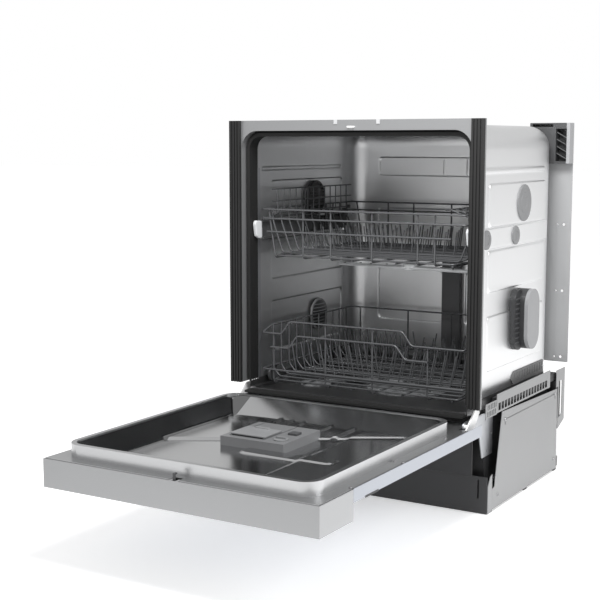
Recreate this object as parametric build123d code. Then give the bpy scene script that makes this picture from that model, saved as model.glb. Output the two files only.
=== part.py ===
"""A 600 mm built-in dishwasher: base, steel tub, drop-down door, two wire baskets and its wash gear.

X points right, Y into the machine and Z up. The floor is z = 0, the middle is x = 0 and the front
face of the tub frame is y = 0. The door is drawn open, lying level in front of the machine.
"""
from build123d import *
import math
import os

os.makedirs("parts", exist_ok=True)

# ---- Overall sizes, millimetres ----
WIDTH = 598.0  # over the side seal strips
HEIGHT = 815.0  # floor to the top of the frame
TUB_DEPTH = 496.0  # front face of the frame to the outside of the tub's back
HALF = WIDTH / 2

# ---- Clearances ----
SEAT = 0.2  # between pieces assembled together
RUN = 0.05  # round each pin or shaft that turns, on the radius
SLIDE_GAP = 1.0  # beside each piece that slides

# ---- Sheets and mouldings ----
FRAME_SHEET = 1.5
TUB_SHEET = 1.2
PAN_WALL = 1.8
SKIN = 1.2  # door shell and liner
MOULD = 2.5  # plastic walls

# ---- Frame round the opening ----
FRAME_DEPTH = 52.5
FRAME_FOOT = 237.0
STRIP_WIDTH = 27.0
STRIP_DEPTH = 8.0
LIP_DEPTH = 8.0  # how far the frame's outer edge turns back
OPEN_HALF = HALF - STRIP_WIDTH
OPEN_TOP = HEIGHT - 22.0
OPEN_CORNER = 40.0
STEP_DEPTH = 19.0  # the sloping step from the frame back to the tub wall

# ---- Tub ----
TUB_HALF = HALF - 35.0
TUB_TOP = HEIGHT - 10.0
TUB_FOOT = 240.0
TUB_JOIN = TUB_DEPTH - 49.0  # where the wrapper meets the dished back
TUB_CORNER = 50.0
BACK_CORNER = 45.0
PAN_FLOOR = 216.0
PAN_FRONT = 16.0
PAN_LIP = 224.0  # top of the front dam
LEDGE_TOP = 225.2  # track for the lower basket's wheels
LEDGE_WIDTH = 13.0

# ---- Sump, filter, softener ----
SUMP_X, SUMP_Y, SUMP_R = 35.0, 215.0, 88.0
SUMP_DEPTH = 76.0
FILTER_X, FILTER_Y, FILTER_R = 72.0, 180.0, 34.0
SALT_X, SALT_Y, SALT_R = -170.0, 150.0, 30.0

# ---- Spray arms ----
ARM_X, ARM_Y = 18.0, 262.0
ARM_REACH = 200.0
ARM_WIDTH = 44.0
ARM_THICK = 7.0
POST_R = 12.0
LOWER_ARM_Z = 222.5

# ---- Door ----
HINGE_Y, HINGE_Z = -11.0, 201.0
PIN_R = 5.0
DOOR_HALF = HALF - 8.0
DOOR_FACE = HINGE_Z - 1.0  # inner flange of the open door
DOOR_THICK = 24.0
DOOR_REAR = 30.0
DOOR_FRONT = HINGE_Y + HINGE_Z - HEIGHT
PANEL_LENGTH = 112.0
PANEL_DROP = 31.0  # how far the control panel stands proud of the door
RIM_HEIGHT = 25.0
RIM_BAND = 9.0
RIM_HALF = OPEN_HALF - 7.0
RIM_FRONT = DOOR_FRONT + 26.0
RIM_REAR = -56.0
RIM_CORNER = 35.0
BASIN_FLOOR = DOOR_FACE - 13.0

# ---- Base ----
BASE_HALF = HALF - 11.0
BASE_FRONT = 70.0
BASE_REAR = 500.0
TRAY_FLOOR = 8.0
TRAY_SHEET = 4.0
TRAY_RIM = 32.0
KICK_TOP = 80.0
PANEL_SHEET = 1.5
WALL_OUT = TUB_HALF + 4.0  # outside of the base's inner side walls

# ---- Upper basket and its rails ----
RAIL_Z = TUB_TOP - 229.0  # middle of the rails
RAIL_HALF_HEIGHT = 18.0
RAIL_IN = TUB_HALF - 14.0
RAIL_OUT = TUB_HALF - 5.5
RAIL_FRONT, RAIL_REAR = 50.0, TUB_DEPTH - 56.0
BASKET_TRAVEL = 450.0  # the upper basket pulled right out
RAIL_TRAVEL = 180.0  # how far the rails come out with it
BASKET_HALF = TUB_HALF - 19.0
BASKET_FRONT, BASKET_REAR = 40.0, TUB_DEPTH - 41.0
UPPER_FLOOR = RAIL_Z - 56.0
UPPER_TOP = RAIL_Z + 46.0

# ---- Lower basket ----
WIRE_R = 2.0
TINE_R = 1.5
LOWER_FLOOR = 238.0
LOWER_TOP = 358.0
WHEEL_R = 16.0
AXLE_R = 3.0
TINE_HEIGHT = 72.0


# ---- Shapes used all through ----
def block(x, y, z):
    """Box between pairs of coordinates."""
    spans = (x, y, z)
    middle = [(low + high) / 2 for low, high in spans]
    size = [high - low for low, high in spans]
    return Pos(*middle) * Box(*size)


def rod(start, end, radius):
    """Round bar from one point to another."""
    start, end = Vector(*start), Vector(*end)
    frame = Plane(origin=start, z_dir=end - start)
    upright = (Align.CENTER, Align.CENTER, Align.MIN)
    return frame.location * Cylinder(radius, (end - start).length, align=upright)


def rect(u, v):
    """Flat rectangle between pairs of coordinates."""
    return Pos((u[0] + u[1]) / 2, (v[0] + v[1]) / 2) * Rectangle(u[1] - u[0], v[1] - v[0])


def rounded(u, v, radius):
    """Flat rectangle with round corners."""
    face = rect(u, v)
    return fillet(face.vertices(), radius)


def arch(half, foot, top, radius):
    """Flat doorway outline, round at its two top corners."""
    face = rect((-half, half), (foot, top))
    return fillet(face.vertices().sort_by(Axis.Y)[-2:], radius)


def along_x(face, low, high):
    """Outline in y and z, given thickness along X."""
    plane = Plane(origin=(low, 0, 0), x_dir=(0, 1, 0), z_dir=(1, 0, 0))
    return extrude(plane * face, high - low, dir=(1, 0, 0))


def along_y(face, low, high):
    """Outline in x and z, given thickness along Y."""
    plane = Plane(origin=(0, high, 0), x_dir=(1, 0, 0), z_dir=(0, -1, 0))
    return extrude(plane * face, high - low, dir=(0, -1, 0))


def along_z(face, low, high):
    """Outline in x and y, given thickness along Z."""
    return extrude(Pos(0, 0, low) * face, high - low, dir=(0, 0, 1))


def mirrored(*shapes):
    """The shapes and their mirror images across the middle of the machine."""
    return [*shapes, *(shape.mirror(Plane.YZ) for shape in shapes)]


def wire(points, radius, closed=False):
    """Bent wire as straight lengths that meet on mitred faces."""
    corners = [Vector(*point) for point in points]
    count = len(corners) if closed else len(corners) - 1
    lengths = []
    for index in range(count):
        start, end = corners[index], corners[(index + 1) % len(corners)]
        way = (end - start).normalized()
        has_before = closed or index > 0
        has_after = closed or index < count - 1
        low = start - way * (2.5 * radius if has_before else 0)
        high = end + way * (2.5 * radius if has_after else 0)
        length = rod(low, high, radius)
        if has_before:
            before = (start - corners[index - 1]).normalized()
            length = split(length, Plane(origin=start, z_dir=way + before), keep=Keep.TOP)
        if has_after:
            after = (corners[(index + 2) % len(corners)] - end).normalized()
            length = split(length, Plane(origin=end, z_dir=way + after), keep=Keep.BOTTOM)
        lengths += length.solids()
    return lengths


def save(name, *pieces):
    """Write one sub-part, made of one or more solids."""
    solids = []
    for piece in pieces:
        solids += [piece] if isinstance(piece, Solid) else piece.solids()
    export_step(Compound(solids), f"parts/{name}.step")


# ---- Base ----
def base_tray():
    """Moulded drip tray that carries everything, with three foot nubs a side."""
    body = block((-BASE_HALF, BASE_HALF), (BASE_FRONT + 2, BASE_REAR), (TRAY_FLOOR, TRAY_RIM))
    inner = BASE_HALF - MOULD
    hollow = (BASE_FRONT + 2 + MOULD, BASE_REAR - MOULD)
    body -= block((-inner, inner), hollow, (TRAY_FLOOR + TRAY_SHEET, TRAY_RIM))
    for side in (-1, 1):
        body -= rod((side * FOOT_X, FOOT_Y, 0), (side * FOOT_X, FOOT_Y, TRAY_RIM), FOOT_STUD_R + RUN)
        for y in (82.0, 285.0, BASE_REAR - 24):
            edge = sorted((side * (BASE_HALF - 14), side * BASE_HALF))
            body += block(edge, (y, y + 18), (0, TRAY_FLOOR))
    return body


FOOT_X, FOOT_Y = 245.0, 125.0
FOOT_STUD_R = 5.0
FOOT_PAD_R = 17.0
FOOT_PAD = 5.0


def front_foot(side):
    """Levelling foot: a pad on a screwed stud."""
    x = side * FOOT_X
    pad = rod((x, FOOT_Y, 0), (x, FOOT_Y, FOOT_PAD), FOOT_PAD_R)
    return pad + rod((x, FOOT_Y, FOOT_PAD), (x, FOOT_Y, TRAY_RIM + 20), FOOT_STUD_R)


def base_side_frames():
    """Black inner walls of the base, the bearers under the tub and the panel stand-offs."""
    right = [
        block((TUB_HALF, WALL_OUT), (118, BASE_REAR - 8), (TRAY_FLOOR + TRAY_SHEET, PAN_FLOOR)),
        block((TUB_HALF - 26, TUB_HALF), (54, BASE_REAR - 8), (PAN_FLOOR - 16, PAN_FLOOR)),
        block((TUB_HALF - 26, WALL_OUT), (100, 118), (TRAY_FLOOR + TRAY_SHEET, PAN_FLOOR - 16)),
    ]
    for y in (142.0, 285.0, 425.0):
        right.append(block((WALL_OUT, BASE_HALF), (y, y + 9), (206, 214)))
    right.append(block((WALL_OUT, BASE_HALF), (BASE_REAR - 22, BASE_REAR - 8), (170, 214)))
    right.append(rod((WALL_OUT, SPRING_REAR, SPRING_Z), (BASE_HALF - 2, SPRING_REAR, SPRING_Z), 3))
    return mirrored(*right)


VENT_LOW, VENT_HIGH = 208.0, 248.0
VENT_FRONT, VENT_REAR = 113.0, 434.0
VENT_PITCH = 17.5


def base_side_panels():
    """Sheet sides of the base: trapezoid panel, vented rail, rear loop, front strip and front grille."""
    low, high = BASE_HALF, BASE_HALF + PANEL_SHEET
    outline = Polygon((95, 5), (489, 5), (485, 196), (143, 206), (107, 52), (95, 50), align=None)
    panel = along_x(outline, low, high)
    for y in (160.0, 470.0):
        panel -= rod((low - 1, y, 186), (high + 1, y, 186), 3.5)
        panel -= block((low - 1, high + 1), (y - 1.6, y + 1.6), (174, 186))
    rail = along_x(rect((VENT_FRONT, VENT_REAR), (VENT_LOW, VENT_HIGH)), low, high)
    slots = int((VENT_REAR - VENT_FRONT - 10) / VENT_PITCH)
    for number in range(slots):
        y = VENT_FRONT + 8 + number * VENT_PITCH
        rail -= block((low - 1, high + 1), (y, y + VENT_PITCH - 4), (VENT_LOW + 4, VENT_HIGH - 20))
    loop = Polygon((478, 99), (494, 99), (536, 115), (536, 240), (478, 240), align=None)
    loop -= Polygon((497, 124), (518, 132), (518, 212), (497, 212), align=None)
    loop -= Polygon((478, 99), (491, 99), (491, 200), (478, 200), align=None)
    rear = along_x(loop, low, high)
    strip = along_x(Polygon((72, 1), (94.5, 1), (94.5, 82), (84, 78), (72, 60), align=None), low, high)
    grille = along_x(rect((53, 112), (206, FRAME_FOOT - SEAT)), low, high)
    for number in range(6):
        y = 59.0 + number * 8.5
        grille -= block((low - 1, high + 1), (y, y + 4.5), (209, 220))
        grille -= block((low - 1, high + 1), (y + 3, y + 7), (223, 234))
    ties = block((WALL_OUT + HINGE_PLATE, BASE_HALF), (100, 109), (206, 214))
    return mirrored(panel, rail, rear, strip, grille, ties)


def kick_plate():
    """Dark plinth sheet across the front, slotted near each end."""
    plate = block((-BASE_HALF, BASE_HALF), (BASE_FRONT, BASE_FRONT + 2), (1, KICK_TOP))
    for side in (-1, 1):
        middle = side * (BASE_HALF - 20)
        plate -= block((middle - 1.5, middle + 1.5), (BASE_FRONT - 1, BASE_FRONT + 3), (33, 72))
    return plate


HINGE_PLATE = 3.0


def hinge_plates():
    """Galvanised side plates with the door's pivot holes."""
    low = WALL_OUT
    high = low + HINGE_PLATE
    outline = Polygon(
        (HINGE_Y, HINGE_Z - 9), (60, 186), (82, 116), (136, 116), (136, 204), (82, 211),
        (HINGE_Y, HINGE_Z + 9), align=None,
    )
    plate = along_x(outline, low, high)
    plate += rod((low, HINGE_Y, HINGE_Z), (high, HINGE_Y, HINGE_Z), 9)
    plate -= rod((low - 1, HINGE_Y, HINGE_Z), (high + 1, HINGE_Y, HINGE_Z), PIN_R + RUN)
    for y, z in ((98.0, 196.0), (106.0, 126.0), (128.0, 160.0)):
        plate -= rod((low - 1, y, z), (high + 1, y, z), 2.5)
    return mirrored(plate)


SPRING_Z = 60.0
SPRING_REAR = 336.0
SPRING_R = 8.0


def door_springs():
    """Tension springs that balance the door, one in each side of the base."""
    x = WALL_OUT + 10
    coil = rod((x, 140, SPRING_Z), (x, SPRING_REAR - 20, SPRING_Z), SPRING_R)
    hook = rod((x, SPRING_REAR - 20, SPRING_Z), (x, SPRING_REAR - 3, SPRING_Z), 2)
    lead = rod((x, 128, SPRING_Z), (x, 140, SPRING_Z), 2)
    return mirrored(coil + hook + lead)


def sump():
    """Round well under the tub floor, open at the top."""
    well = rod((SUMP_X, SUMP_Y, PAN_FLOOR - SUMP_DEPTH), (SUMP_X, SUMP_Y, PAN_FLOOR), SUMP_R)
    well += rod((SUMP_X, SUMP_Y, PAN_FLOOR - 4), (SUMP_X, SUMP_Y, PAN_FLOOR), SUMP_R + 8)
    inside = SUMP_R - MOULD
    well -= rod((SUMP_X, SUMP_Y, PAN_FLOOR - SUMP_DEPTH + MOULD), (SUMP_X, SUMP_Y, PAN_FLOOR + 1), inside)
    return well


PUMP_R = 46.0
PUMP_Z = PAN_FLOOR - SUMP_DEPTH - 14.0 - PUMP_R  # 14 mm of pipe between sump and pump
DRAIN_Z = PUMP_Z + 4


def circulation_pump():
    """Wash pump: volute under the sump, motor beside it, on a saddle."""
    x, y = SUMP_X - 15, SUMP_Y
    pump = rod((x - 22, y, PUMP_Z), (x + 22, y, PUMP_Z), PUMP_R)
    pump += rod((x - 150, y, PUMP_Z), (x - 22, y, PUMP_Z), PUMP_R - 8)
    pump += rod((x, y, PUMP_Z), (x, y, PAN_FLOOR - SUMP_DEPTH), 15)
    pump += block((x - 140, x + 22), (y - 16, y + 16), (TRAY_FLOOR + TRAY_SHEET, PUMP_Z - 30))
    return pump


def drain_pump():
    """Small pump that empties the sump, with its outlet stub."""
    x, y = SUMP_X + 62, SUMP_Y
    pump = rod((x, y - 28, DRAIN_Z), (x, y + 30, DRAIN_Z), 24)
    pump += rod((x, y, DRAIN_Z), (x, y, PAN_FLOOR - SUMP_DEPTH), 10)
    pump += block((x - 14, x + 14), (y - 20, y + 20), (TRAY_FLOOR + TRAY_SHEET, DRAIN_Z - 14))
    return pump


INLET_X, INLET_Z = 222.0, 85.0
INLET_THREAD_R = 13.2
INLET_THREAD = 20.0


def inlet_valve():
    """Water inlet valve with its threaded spigot through the back of the base."""
    y = BASE_REAR - 8
    valve = block((INLET_X - 20, INLET_X + 20), (y - 46, y), (INLET_Z - 22, INLET_Z + 22))
    valve += rod((INLET_X, y, INLET_Z), (INLET_X, y + INLET_THREAD, INLET_Z), INLET_THREAD_R)
    valve += block((INLET_X - 14, INLET_X + 14), (y - 40, y - 10), (TRAY_FLOOR + TRAY_SHEET, INLET_Z - 22))
    return valve


def cable_gland():
    """Mains cable gland on a bracket at the back of the base."""
    x, y = -215.0, BASE_REAR - 8
    gland = block((x - 16, x + 16), (y - 30, y), (70, 102))
    gland += rod((x, y, 86), (x, y + 14, 86), 9)
    gland -= rod((x, y - 12, 86), (x, y + 15, 86), 4)
    gland += block((x - 12, x + 12), (y - 26, y - 14), (TRAY_FLOOR + TRAY_SHEET, 70))
    return gland


def softener_tank():
    """Salt and resin tank hung under the tub floor, its neck in the pan."""
    tank = block((SALT_X - 62, SALT_X + 58), (SALT_Y - 58, SALT_Y + 66), (118, PAN_FLOOR - 10))
    return tank + rod((SALT_X, SALT_Y, PAN_FLOOR - 10), (SALT_X, SALT_Y, PAN_FLOOR), SALT_R + 6)


def pump_pipes():
    """Hose from the drain pump to the back, and feed pipe from the wash pump up to the duct."""
    x = SUMP_X + 62
    drain = wire([(x, SUMP_Y + 30, DRAIN_Z), (x, BASE_REAR - 50, DRAIN_Z), (x, BASE_REAR + 12, 110)], 9)
    feed_y = TUB_DEPTH - 14
    wash = wire([(ARM_X, SUMP_Y + PUMP_R, PUMP_Z), (ARM_X, feed_y, PUMP_Z), (ARM_X, feed_y, PAN_FLOOR)], 10)
    return drain + wash


# ---- Frame and tub ----
def front_frame():
    """Hat-section steel ring round the opening, with the step back to the tub walls."""
    outer = rect((-HALF + 1, HALF - 1), (FRAME_FOOT, HEIGHT))
    outer_in = rect((-HALF + 1 + FRAME_SHEET, HALF - 1 - FRAME_SHEET), (FRAME_FOOT - 1, HEIGHT - FRAME_SHEET))
    opening = arch(OPEN_HALF, FRAME_FOOT - 1, OPEN_TOP, OPEN_CORNER)
    opening_out = arch(
        OPEN_HALF + FRAME_SHEET, FRAME_FOOT - 1, OPEN_TOP + FRAME_SHEET, OPEN_CORNER + FRAME_SHEET
    )
    throat = arch(TUB_HALF - TUB_SHEET, FRAME_FOOT - 1, OPEN_TOP, OPEN_CORNER)
    rear = FRAME_DEPTH - FRAME_SHEET
    frame = along_y(outer - opening, 0, FRAME_SHEET)
    frame += along_y(outer - outer_in, 0, LIP_DEPTH)
    frame += along_y((outer & opening_out) - opening, 0, FRAME_DEPTH)
    collar = OPEN_HALF + FRAME_SHEET
    frame += along_y(arch(collar, FRAME_FOOT, TUB_TOP, TUB_CORNER) - throat, rear, FRAME_DEPTH)
    tip = TUB_HALF + SEAT
    step = Polygon(
        (collar, FRAME_DEPTH), (collar - 2 * FRAME_SHEET, FRAME_DEPTH),
        (tip, FRAME_DEPTH + STEP_DEPTH - 1), (tip, FRAME_DEPTH + STEP_DEPTH), align=None,
    )
    side = along_z(step, FRAME_FOOT, HEIGHT - 103)
    return frame + side + side.mirror(Plane.YZ)


def side_seal_strips():
    """Ribbed black strips that close the gap between door and frame."""
    strip = block((OPEN_HALF, HALF), (-STRIP_DEPTH, 0), (FRAME_FOOT, HEIGHT))
    for offset in (6.0, 13.0, 20.0):
        x = OPEN_HALF + offset
        strip -= block((x - 1.2, x + 1.2), (-STRIP_DEPTH - 1, -STRIP_DEPTH + 3), (FRAME_FOOT - 1, HEIGHT + 1))
    return mirrored(strip)


SEAL_BODY, SEAL_LIP_OUT, SEAL_LIP_IN = 11.0, 4.0, 12.0
SEAL_FRONT = 14.0


def door_seal():
    """Gasket round the opening, and the lip seal across the front of the tub floor."""
    def ring(outer, inner, low, high):
        shape = arch(OPEN_HALF - outer, TUB_FOOT, OPEN_TOP - outer, OPEN_CORNER - outer)
        shape -= arch(OPEN_HALF - inner, TUB_FOOT, OPEN_TOP - inner, OPEN_CORNER - inner)
        return along_y(shape, low, high)

    gasket = ring(SEAT, SEAL_BODY, 24, 48) + ring(SEAL_LIP_OUT, SEAL_LIP_IN, SEAL_FRONT, 24)
    half = TUB_HALF - 2
    lip = block((-half, half), (-8, PAN_FRONT), (PAN_FLOOR, PAN_FLOOR + 5))
    return [gasket, lip]


STRIKE_HALF = 7.0
STRIKE_X = 2.0


def top_frame_fittings():
    """Latch strike loop and two small clips on the top of the frame."""
    middle = HEIGHT - 14.5
    loop = block((STRIKE_X - STRIKE_HALF, STRIKE_X + STRIKE_HALF), (-8, 0), (middle - 1.5, middle + 1.5))
    loop -= block((STRIKE_X - STRIKE_HALF + 2, STRIKE_X + STRIKE_HALF - 2), (-6, 1), (middle - 2, middle + 2))
    clips = [block((x - 4, x + 4), (-1.5, 0), (HEIGHT - 9, HEIGHT)) for x in (-36.0, 64.0)]
    return [loop, *clips]


PLUG_Y, PLUG_Z, PLUG_R = 300.0, TUB_TOP - 167.0, 40.0
VENT_Y, VENT_Z, VENT_R = 315.0, TUB_FOOT + 115.0, 37.5
HOUSING_Y, HOUSING_LOW, HOUSING_HIGH = 289.0, 320.0, 452.0
ROLLER_CAP_R = 20.0
ROLLER_Y = (FRAME_DEPTH + STEP_DEPTH + ROLLER_CAP_R + 0.5, 253.0)


def tub_wrapper():
    """Side walls and roof of the tub, bent from one sheet."""
    outside = arch(TUB_HALF, TUB_FOOT, TUB_TOP, TUB_CORNER)
    inside = arch(TUB_HALF - TUB_SHEET, TUB_FOOT - 1, TUB_TOP - TUB_SHEET, TUB_CORNER - TUB_SHEET)
    return along_y(outside - inside, FRAME_DEPTH, TUB_JOIN)


def tub_back():
    """Dished back of the tub, round where it turns into the walls and roof."""
    def dish(inset, low, high):
        face = arch(TUB_HALF - inset, TUB_FOOT - (1 if inset else 0), TUB_TOP - inset, TUB_CORNER - inset)
        solid = along_y(face, low, high)
        rear = solid.faces().sort_by(Axis.Y)[-1]
        turned = [edge for edge in rear.edges() if edge.center().Z > TUB_FOOT + 1]
        return fillet(turned, BACK_CORNER - inset)

    return dish(0, TUB_JOIN, TUB_DEPTH) - dish(TUB_SHEET, TUB_JOIN - 1, TUB_DEPTH - TUB_SHEET)


def tub_floor():
    """Floor pan with its sump hole, salt hole, wheel ledges and front dam.

    The pan is drawn as simple solids that touch, so that the collision hulls follow the wheel tracks.
    """
    def outline(inset):
        face = rect((-TUB_HALF + inset, TUB_HALF - inset), (PAN_FRONT + inset, TUB_DEPTH - inset))
        return fillet(face.vertices().sort_by(Axis.Y)[-2:], BACK_CORNER - inset)

    top = PAN_FLOOR + PAN_WALL
    throat = TUB_HALF - PAN_WALL
    plate = along_z(outline(0), PAN_FLOOR, top)
    plate -= rod((SUMP_X, SUMP_Y, PAN_FLOOR - 1), (SUMP_X, SUMP_Y, top + 1), SUMP_R - MOULD)
    plate -= rod((SALT_X, SALT_Y, PAN_FLOOR - 1), (SALT_X, SALT_Y, top + 1), SALT_R)
    dam = block((-throat, throat), (PAN_FRONT, PAN_FRONT + PAN_WALL), (top, PAN_LIP))
    rim = along_z(outline(0) - outline(PAN_WALL), top, TUB_FOOT)
    rear = rim & block((-TUB_HALF, TUB_HALF), (TUB_JOIN, TUB_DEPTH), (top, TUB_FOOT))
    wall = block((throat, TUB_HALF), (PAN_FRONT, TUB_JOIN), (top, TUB_FOOT))
    wall -= block((throat - 1, TUB_HALF + 1), (PAN_FRONT - 1, FRAME_DEPTH + SEAT), (FRAME_FOOT, TUB_FOOT + 1))
    ledge = block((throat - LEDGE_WIDTH, throat), (PAN_FRONT + PAN_WALL, TUB_JOIN), (top, LEDGE_TOP))
    return [plate, dam, rear, *mirrored(wall, ledge)]


def filter_plate():
    """Perforated plate over the sump, with the filter's hole and the spray arm's post."""
    low = PAN_FLOOR + PAN_WALL
    high = low + 1.4
    plate = rod((SUMP_X, SUMP_Y, low), (SUMP_X, SUMP_Y, high), SUMP_R + 6)
    plate -= rod((FILTER_X, FILTER_Y, low - 1), (FILTER_X, FILTER_Y, high + 1), FILTER_R + SLIDE_GAP)
    for angle in range(100, 340, 20):
        x = SUMP_X + 72 * math.cos(math.radians(angle))
        y = SUMP_Y + 72 * math.sin(math.radians(angle))
        if math.hypot(x - FILTER_X, y - FILTER_Y) > FILTER_R + 8:
            plate -= rod((x, y, low - 1), (x, y, high + 1), 4)
    return plate + rod((ARM_X, ARM_Y, high), (ARM_X, ARM_Y, LOWER_ARM_Z + ARM_THICK - 2), POST_R)


def filter_cup():
    """Cylindrical filter that twists out of the sump: tube, floor, top flange and grip plate."""
    low = PAN_FLOOR - 54
    flange = PAN_FLOOR + PAN_WALL + 1.4
    bore = FILTER_R - MOULD

    def disc(bottom, top, radius):
        return rod((FILTER_X, FILTER_Y, bottom), (FILTER_X, FILTER_Y, top), radius)

    tube = disc(low, flange + SEAT, FILTER_R) - disc(low - 1, flange + 1, bore)
    collar = disc(flange + SEAT, flange + 1.6, FILTER_R + 3) - disc(flange, flange + 2, bore)
    grip = block(
        (FILTER_X - FILTER_R, FILTER_X + FILTER_R), (FILTER_Y - 2, FILTER_Y + 2), (low + MOULD, flange + 1)
    )
    return [tube, collar, disc(low, low + MOULD, bore), grip & disc(low, flange + 2, bore)]


def softener_cap():
    """Screw cap on the salt tank's neck."""
    low = PAN_FLOOR + PAN_WALL
    cap = rod((SALT_X, SALT_Y, low + SEAT), (SALT_X, SALT_Y, low + 2.6), SALT_R + 6)
    cap += rod((SALT_X, SALT_Y, PAN_FLOOR + SEAT), (SALT_X, SALT_Y, low + 1), SALT_R - SEAT)
    return cap + block((SALT_X - 24, SALT_X + 24), (SALT_Y - 3, SALT_Y + 3), (low + 2, low + 4))


def spray_arm(z, lean, hub_low, hub_high, bore_low, bore_high):
    """Two-bladed spray arm on its hub, turned by lean degrees, with the bore for its bearing."""
    blade = Pos(ARM_X, ARM_Y) * SlotOverall(2 * ARM_REACH, ARM_WIDTH, rotation=lean)
    arm = along_z(blade, z, z + ARM_THICK)
    arm += rod((ARM_X, ARM_Y, hub_low), (ARM_X, ARM_Y, hub_high), POST_R + 9)
    return arm - rod((ARM_X, ARM_Y, bore_low), (ARM_X, ARM_Y, bore_high), POST_R + RUN)


def rear_frame():
    """Sheet frame behind the tub, its flanges facing forward outside the tub walls."""
    back = TUB_DEPTH + 30
    inner, edge = TUB_HALF - 49, HALF - 1
    top, foot = HEIGHT - 75, 253.0
    ring = rect((-edge, edge), (foot, top)) - rect((-inner, inner), (foot + 24, top - 24))
    frame = along_y(ring, back, back + 1.5)
    for side in (-1, 1):
        web = sorted((side * inner, side * (inner + 1.5)))
        pad = sorted((side * inner, side * (inner - 18)))
        frame += block(web, (TUB_DEPTH, back), (foot, BRACKET_FOOT))
        frame += block(pad, (TUB_DEPTH, TUB_DEPTH + 1.5), (foot, BRACKET_FOOT))
        for z in (265.0, 422.0, 578.0):
            for inset, radius in ((19, REAR_HOLE_R), (34, 1.6)):
                x = side * (HALF - inset)
                frame -= rod((x, back - 1, z), (x, back + 3, z), radius)
    return frame


REAR_HOLE_R = 3.0
BRACKET_FOOT = HEIGHT - 95.0


def rear_corner_brackets():
    """Moulded corner blocks at the rear top corners, hollow towards the front, with ribs."""
    low, high = TUB_HALF - 61, HALF
    front, back = TUB_DEPTH + SEAT, TUB_DEPTH + 30
    foot, top = BRACKET_FOOT, HEIGHT - 2
    body = block((low, high), (front, back), (foot, top))
    body -= block((TUB_HALF + 2, HALF - 8), (front - 1, back - 4), (foot + 5, top - 14))
    inner, outer = TUB_HALF + 2, HALF - 8
    for rise in (8, 24, 40, 56):
        z = foot + rise
        rib = Polygon((inner, z + 14), (outer, z), (outer, z + 3), (inner, z + 17), align=None)
        body += along_y(rib, front + 6, back - 4)
    body -= block((low + 6, TUB_HALF - 6), (front - 1, back - 4), (top - 9, top - 3))
    return mirrored(body)


ROLLER_CAP_Z = RAIL_Z - 6


def rail_roller_mounts():
    """Rollers inside the tub that carry the basket rails, and their round caps outside."""
    pieces = []
    for y in ROLLER_Y:
        roller = rod((RAIL_OUT + SEAT, y, RAIL_Z), (TUB_HALF - TUB_SHEET, y, RAIL_Z), 13)
        cap = rod((TUB_HALF, y, ROLLER_CAP_Z), (TUB_HALF + 5, y, ROLLER_CAP_Z), ROLLER_CAP_R)
        pieces += mirrored(roller, cap)
    return pieces


def side_plugs():
    """Round plugs in the upper side walls and the vent dome low in the left wall."""
    inner = TUB_HALF - TUB_SHEET
    plugs = []
    for shape in mirrored(rod((TUB_HALF, PLUG_Y, PLUG_Z), (TUB_HALF + 5, PLUG_Y, PLUG_Z), PLUG_R)):
        plugs.append(shape)
    plugs.append(rod((-inner, PLUG_Y, PLUG_Z), (-inner + 4, PLUG_Y, PLUG_Z), PLUG_R))
    plugs.append(rod((-inner, VENT_Y, VENT_Z), (-inner + 6, VENT_Y, VENT_Z), VENT_R))
    return plugs


def inlet_housing():
    """Two-lobed air-break housing on the right wall: inner body and lighter outer cover."""
    def lobe(y, half):
        height = HOUSING_HIGH - HOUSING_LOW
        return Pos(y, HOUSING_LOW + height / 2) * SlotOverall(height, 2 * half, rotation=90)

    body = along_x(lobe(HOUSING_Y - 30, 30), TUB_HALF, TUB_HALF + 14)
    body += along_x(lobe(HOUSING_Y, 33), TUB_HALF, HALF - 8)
    cover = along_x(lobe(HOUSING_Y, 35.5), HALF - 8, HALF)
    return [body, cover]


DUCT_HALF = 23.0
DUCT_STAND = 20.0
NOZZLE_Z = RAIL_Z - 72.0
NOZZLE_FRONT = BASKET_REAR - 5


def feed_duct():
    """Moulded water duct up the back wall, with the nozzle that docks with the upper basket."""
    rear = TUB_DEPTH - PAN_WALL
    across = (ARM_X - DUCT_HALF, ARM_X + DUCT_HALF)
    duct = block(across, (rear - DUCT_STAND, rear), (PAN_FLOOR + PAN_WALL, NOZZLE_Z + 14))
    return duct + rod((ARM_X, NOZZLE_FRONT + 2, NOZZLE_Z), (ARM_X, rear - 5, NOZZLE_Z), 9)


def sound_patches():
    """Bitumen patches low on the outside of the side walls."""
    outline = Polygon(
        (262, TUB_FOOT + 1), (TUB_JOIN, TUB_FOOT + 1), (TUB_JOIN, 270), (264, 270), (246, 256), align=None
    )
    return mirrored(along_x(outline, TUB_HALF, TUB_HALF + 2.5))


# ---- Rails ----
RAIL_LIP = 1.5


def basket_rails():
    """Channel rails that carry the upper basket, open towards it."""
    low, high = RAIL_Z - RAIL_HALF_HEIGHT, RAIL_Z + RAIL_HALF_HEIGHT
    rail = block((RAIL_IN, RAIL_OUT), (RAIL_FRONT, RAIL_REAR), (low, high))
    channel = (low + RAIL_LIP, high - RAIL_LIP)
    rail -= block((RAIL_IN - 1, RAIL_OUT - RAIL_LIP), (RAIL_FRONT - 1, RAIL_REAR + 1), channel)
    return mirrored(rail)


def rail_end_caps():
    """Light moulded stops clipped over the front ends of the rails."""
    outline = Polygon(
        (RAIL_FRONT, RAIL_Z - 19), (RAIL_FRONT, RAIL_Z + 19), (RAIL_FRONT - 22, RAIL_Z + 21),
        (RAIL_FRONT - 27, RAIL_Z + 14), (RAIL_FRONT - 21, RAIL_Z - 14), (RAIL_FRONT - 12, RAIL_Z - 19),
        align=None,
    )
    return mirrored(along_x(outline, RAIL_IN + 0.5, RAIL_OUT))


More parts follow.
